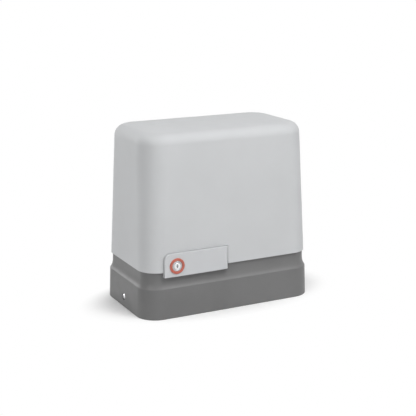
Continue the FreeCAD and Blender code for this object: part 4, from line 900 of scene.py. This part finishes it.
# --------------------------------------------------------------------- stage
class GATEMOTOR_OT_stage(Operator):
    """Set the camera, the pale floor, the softboxes and the room"""
    bl_idname = "gate_motor.stage"
    bl_label = "Stage"

    def execute(self, context):
        scene = context.scene
        values = scene.gate_motor_finishes
        scene.view_settings.view_transform = "Standard"
        lens = bpy.data.cameras.new("Camera")
        lens.lens = 87.364
        lens.sensor_width = 36.0
        camera = bpy.data.objects.new("Camera", lens)
        place = Vector((-0.74417, -1.45828, 0.55993))
        right = Vector((0.89042817, -0.45512242, -0.00112166))
        up = Vector((0.11184973, 0.2164391, 0.96986791))
        ahead = Vector((0.44116586, 0.86372316, -0.24362879))
        turn = Matrix((right, up, -ahead)).transposed()
        camera.matrix_world = Matrix.Translation(place) @ turn.to_4x4()
        scene.collection.objects.link(camera)
        scene.camera = camera
        self.floor(scene)
        self.softbox(scene, "Key", (0.2, -0.9, 1.8), 1.2, values.key_power)
        self.softbox(scene, "Front", (0.9, -1.3, 1.3), 0.7, values.front_power)
        self.softbox(scene, "Left", (-1.6, -0.9, 1.2), 1.2, values.left_power)
        self.softbox(scene, "Back", (-1.2, 1.8, 0.8), 1.2, values.back_power)
        self.room(scene, values.room)
        return {"FINISHED"}

    def softbox(self, scene, name, place, size, power):
        """A square lamp that looks at the middle of the motor."""
        lamp = bpy.data.lights.new(name, "AREA")
        lamp.shape = "SQUARE"
        lamp.size = size
        lamp.energy = power
        thing = bpy.data.objects.new(name, lamp)
        way = Vector((0, 0, mm(130))) - Vector(place)
        thing.matrix_world = (Matrix.Translation(place)
                              @ way.to_track_quat("-Z", "Y").to_matrix().to_4x4())
        scene.collection.objects.link(thing)

    def floor(self, scene):
        """White ground that keeps its shading near the foot and glows further out."""
        bm = bmesh.new()
        bmesh.ops.create_grid(bm, x_segments=1, y_segments=1, size=6.0)
        mesh = bpy.data.meshes.new("Floor")
        bm.to_mesh(mesh)
        bm.free()
        floor = bpy.data.objects.new("Floor", mesh)
        scene.collection.objects.link(floor)
        tree, shader, place = nodes_of("floor_white")
        shader.inputs["Base Color"].default_value = (0.93, 0.93, 0.93, 1)
        shader.inputs["Roughness"].default_value = 0.9
        shader.inputs["Specular IOR Level"].default_value = 0.1
        spread = tree.nodes.new("ShaderNodeVectorMath")
        spread.operation = "DIVIDE"
        spread.inputs[1].default_value = (base_hi[0], base_hi[1], 1.0)
        tree.links.new(place, spread.inputs[0])
        reach = tree.nodes.new("ShaderNodeVectorMath")
        reach.operation = "LENGTH"
        tree.links.new(spread.outputs["Vector"], reach.inputs[0])
        fade = tree.nodes.new("ShaderNodeMapRange")
        fade.interpolation_type = "SMOOTHSTEP"
        fade.inputs["From Min"].default_value = 1.0
        fade.inputs["From Max"].default_value = 1.5
        tree.links.new(reach.outputs["Value"], fade.inputs["Value"])
        share = calculated(tree, "MULTIPLY", fade.outputs["Result"], seen_directly(tree))
        glow = add(tree, "ShaderNodeEmission", Color=(1, 1, 1, 1), Strength=1.0)
        surface = mixed(tree, share, shader.outputs["BSDF"], glow.outputs["Emission"])
        tree.links.new(surface, tree.nodes["Material Output"].inputs["Surface"])
        mesh.materials.append(bpy.data.materials["floor_white"])

    def room(self, scene, level):
        """White to look at, with a faint even light."""
        world = bpy.data.worlds.new("Room")
        scene.world = world
        world.use_nodes = True
        tree = world.node_tree
        tree.nodes.clear()
        out = tree.nodes.new("ShaderNodeOutputWorld")
        even = add(tree, "ShaderNodeBackground", Color=(1, 1, 1, 1), Strength=level)
        white = add(tree, "ShaderNodeBackground", Color=(1, 1, 1, 1), Strength=1.0)
        surface = mixed(tree, seen_directly(tree), even.outputs["Background"],
                        white.outputs["Background"])
        tree.links.new(surface, out.inputs["Surface"])


PIECES = (GATEMOTOR_OT_finishes, GATEMOTOR_OT_cover, GATEMOTOR_OT_base,
          GATEMOTOR_OT_lever, GATEMOTOR_OT_lock, GATEMOTOR_OT_screws,
          GATEMOTOR_OT_wand, GATEMOTOR_OT_board_parts, GATEMOTOR_OT_stage)


class GATEMOTOR_PT_panel(Panel):
    """Lists the steps that build the gate motor"""
    bl_label = "Gate motor"
    bl_idname = "GATEMOTOR_PT_panel"
    bl_space_type = "VIEW_3D"
    bl_region_type = "UI"
    bl_category = "Gate motor"

    def draw(self, context):
        for step in PIECES:
            self.layout.operator(step.bl_idname)


CLASSES = (GateMotorSizes, GateMotorFinishes) + PIECES + (GATEMOTOR_PT_panel,)


def register():
    for entry in CLASSES:
        bpy.utils.register_class(entry)
    bpy.types.Scene.gate_motor_sizes = PointerProperty(type=GateMotorSizes)
    bpy.types.Scene.gate_motor_finishes = PointerProperty(type=GateMotorFinishes)


def unregister():
    del bpy.types.Scene.gate_motor_finishes
    del bpy.types.Scene.gate_motor_sizes
    for entry in reversed(CLASSES):
        bpy.utils.unregister_class(entry)


def main():
    register()
    for step in PIECES:
        group, call = step.bl_idname.split(".")
        getattr(getattr(bpy.ops, group), call)()


if __name__ == "__main__":
    main()
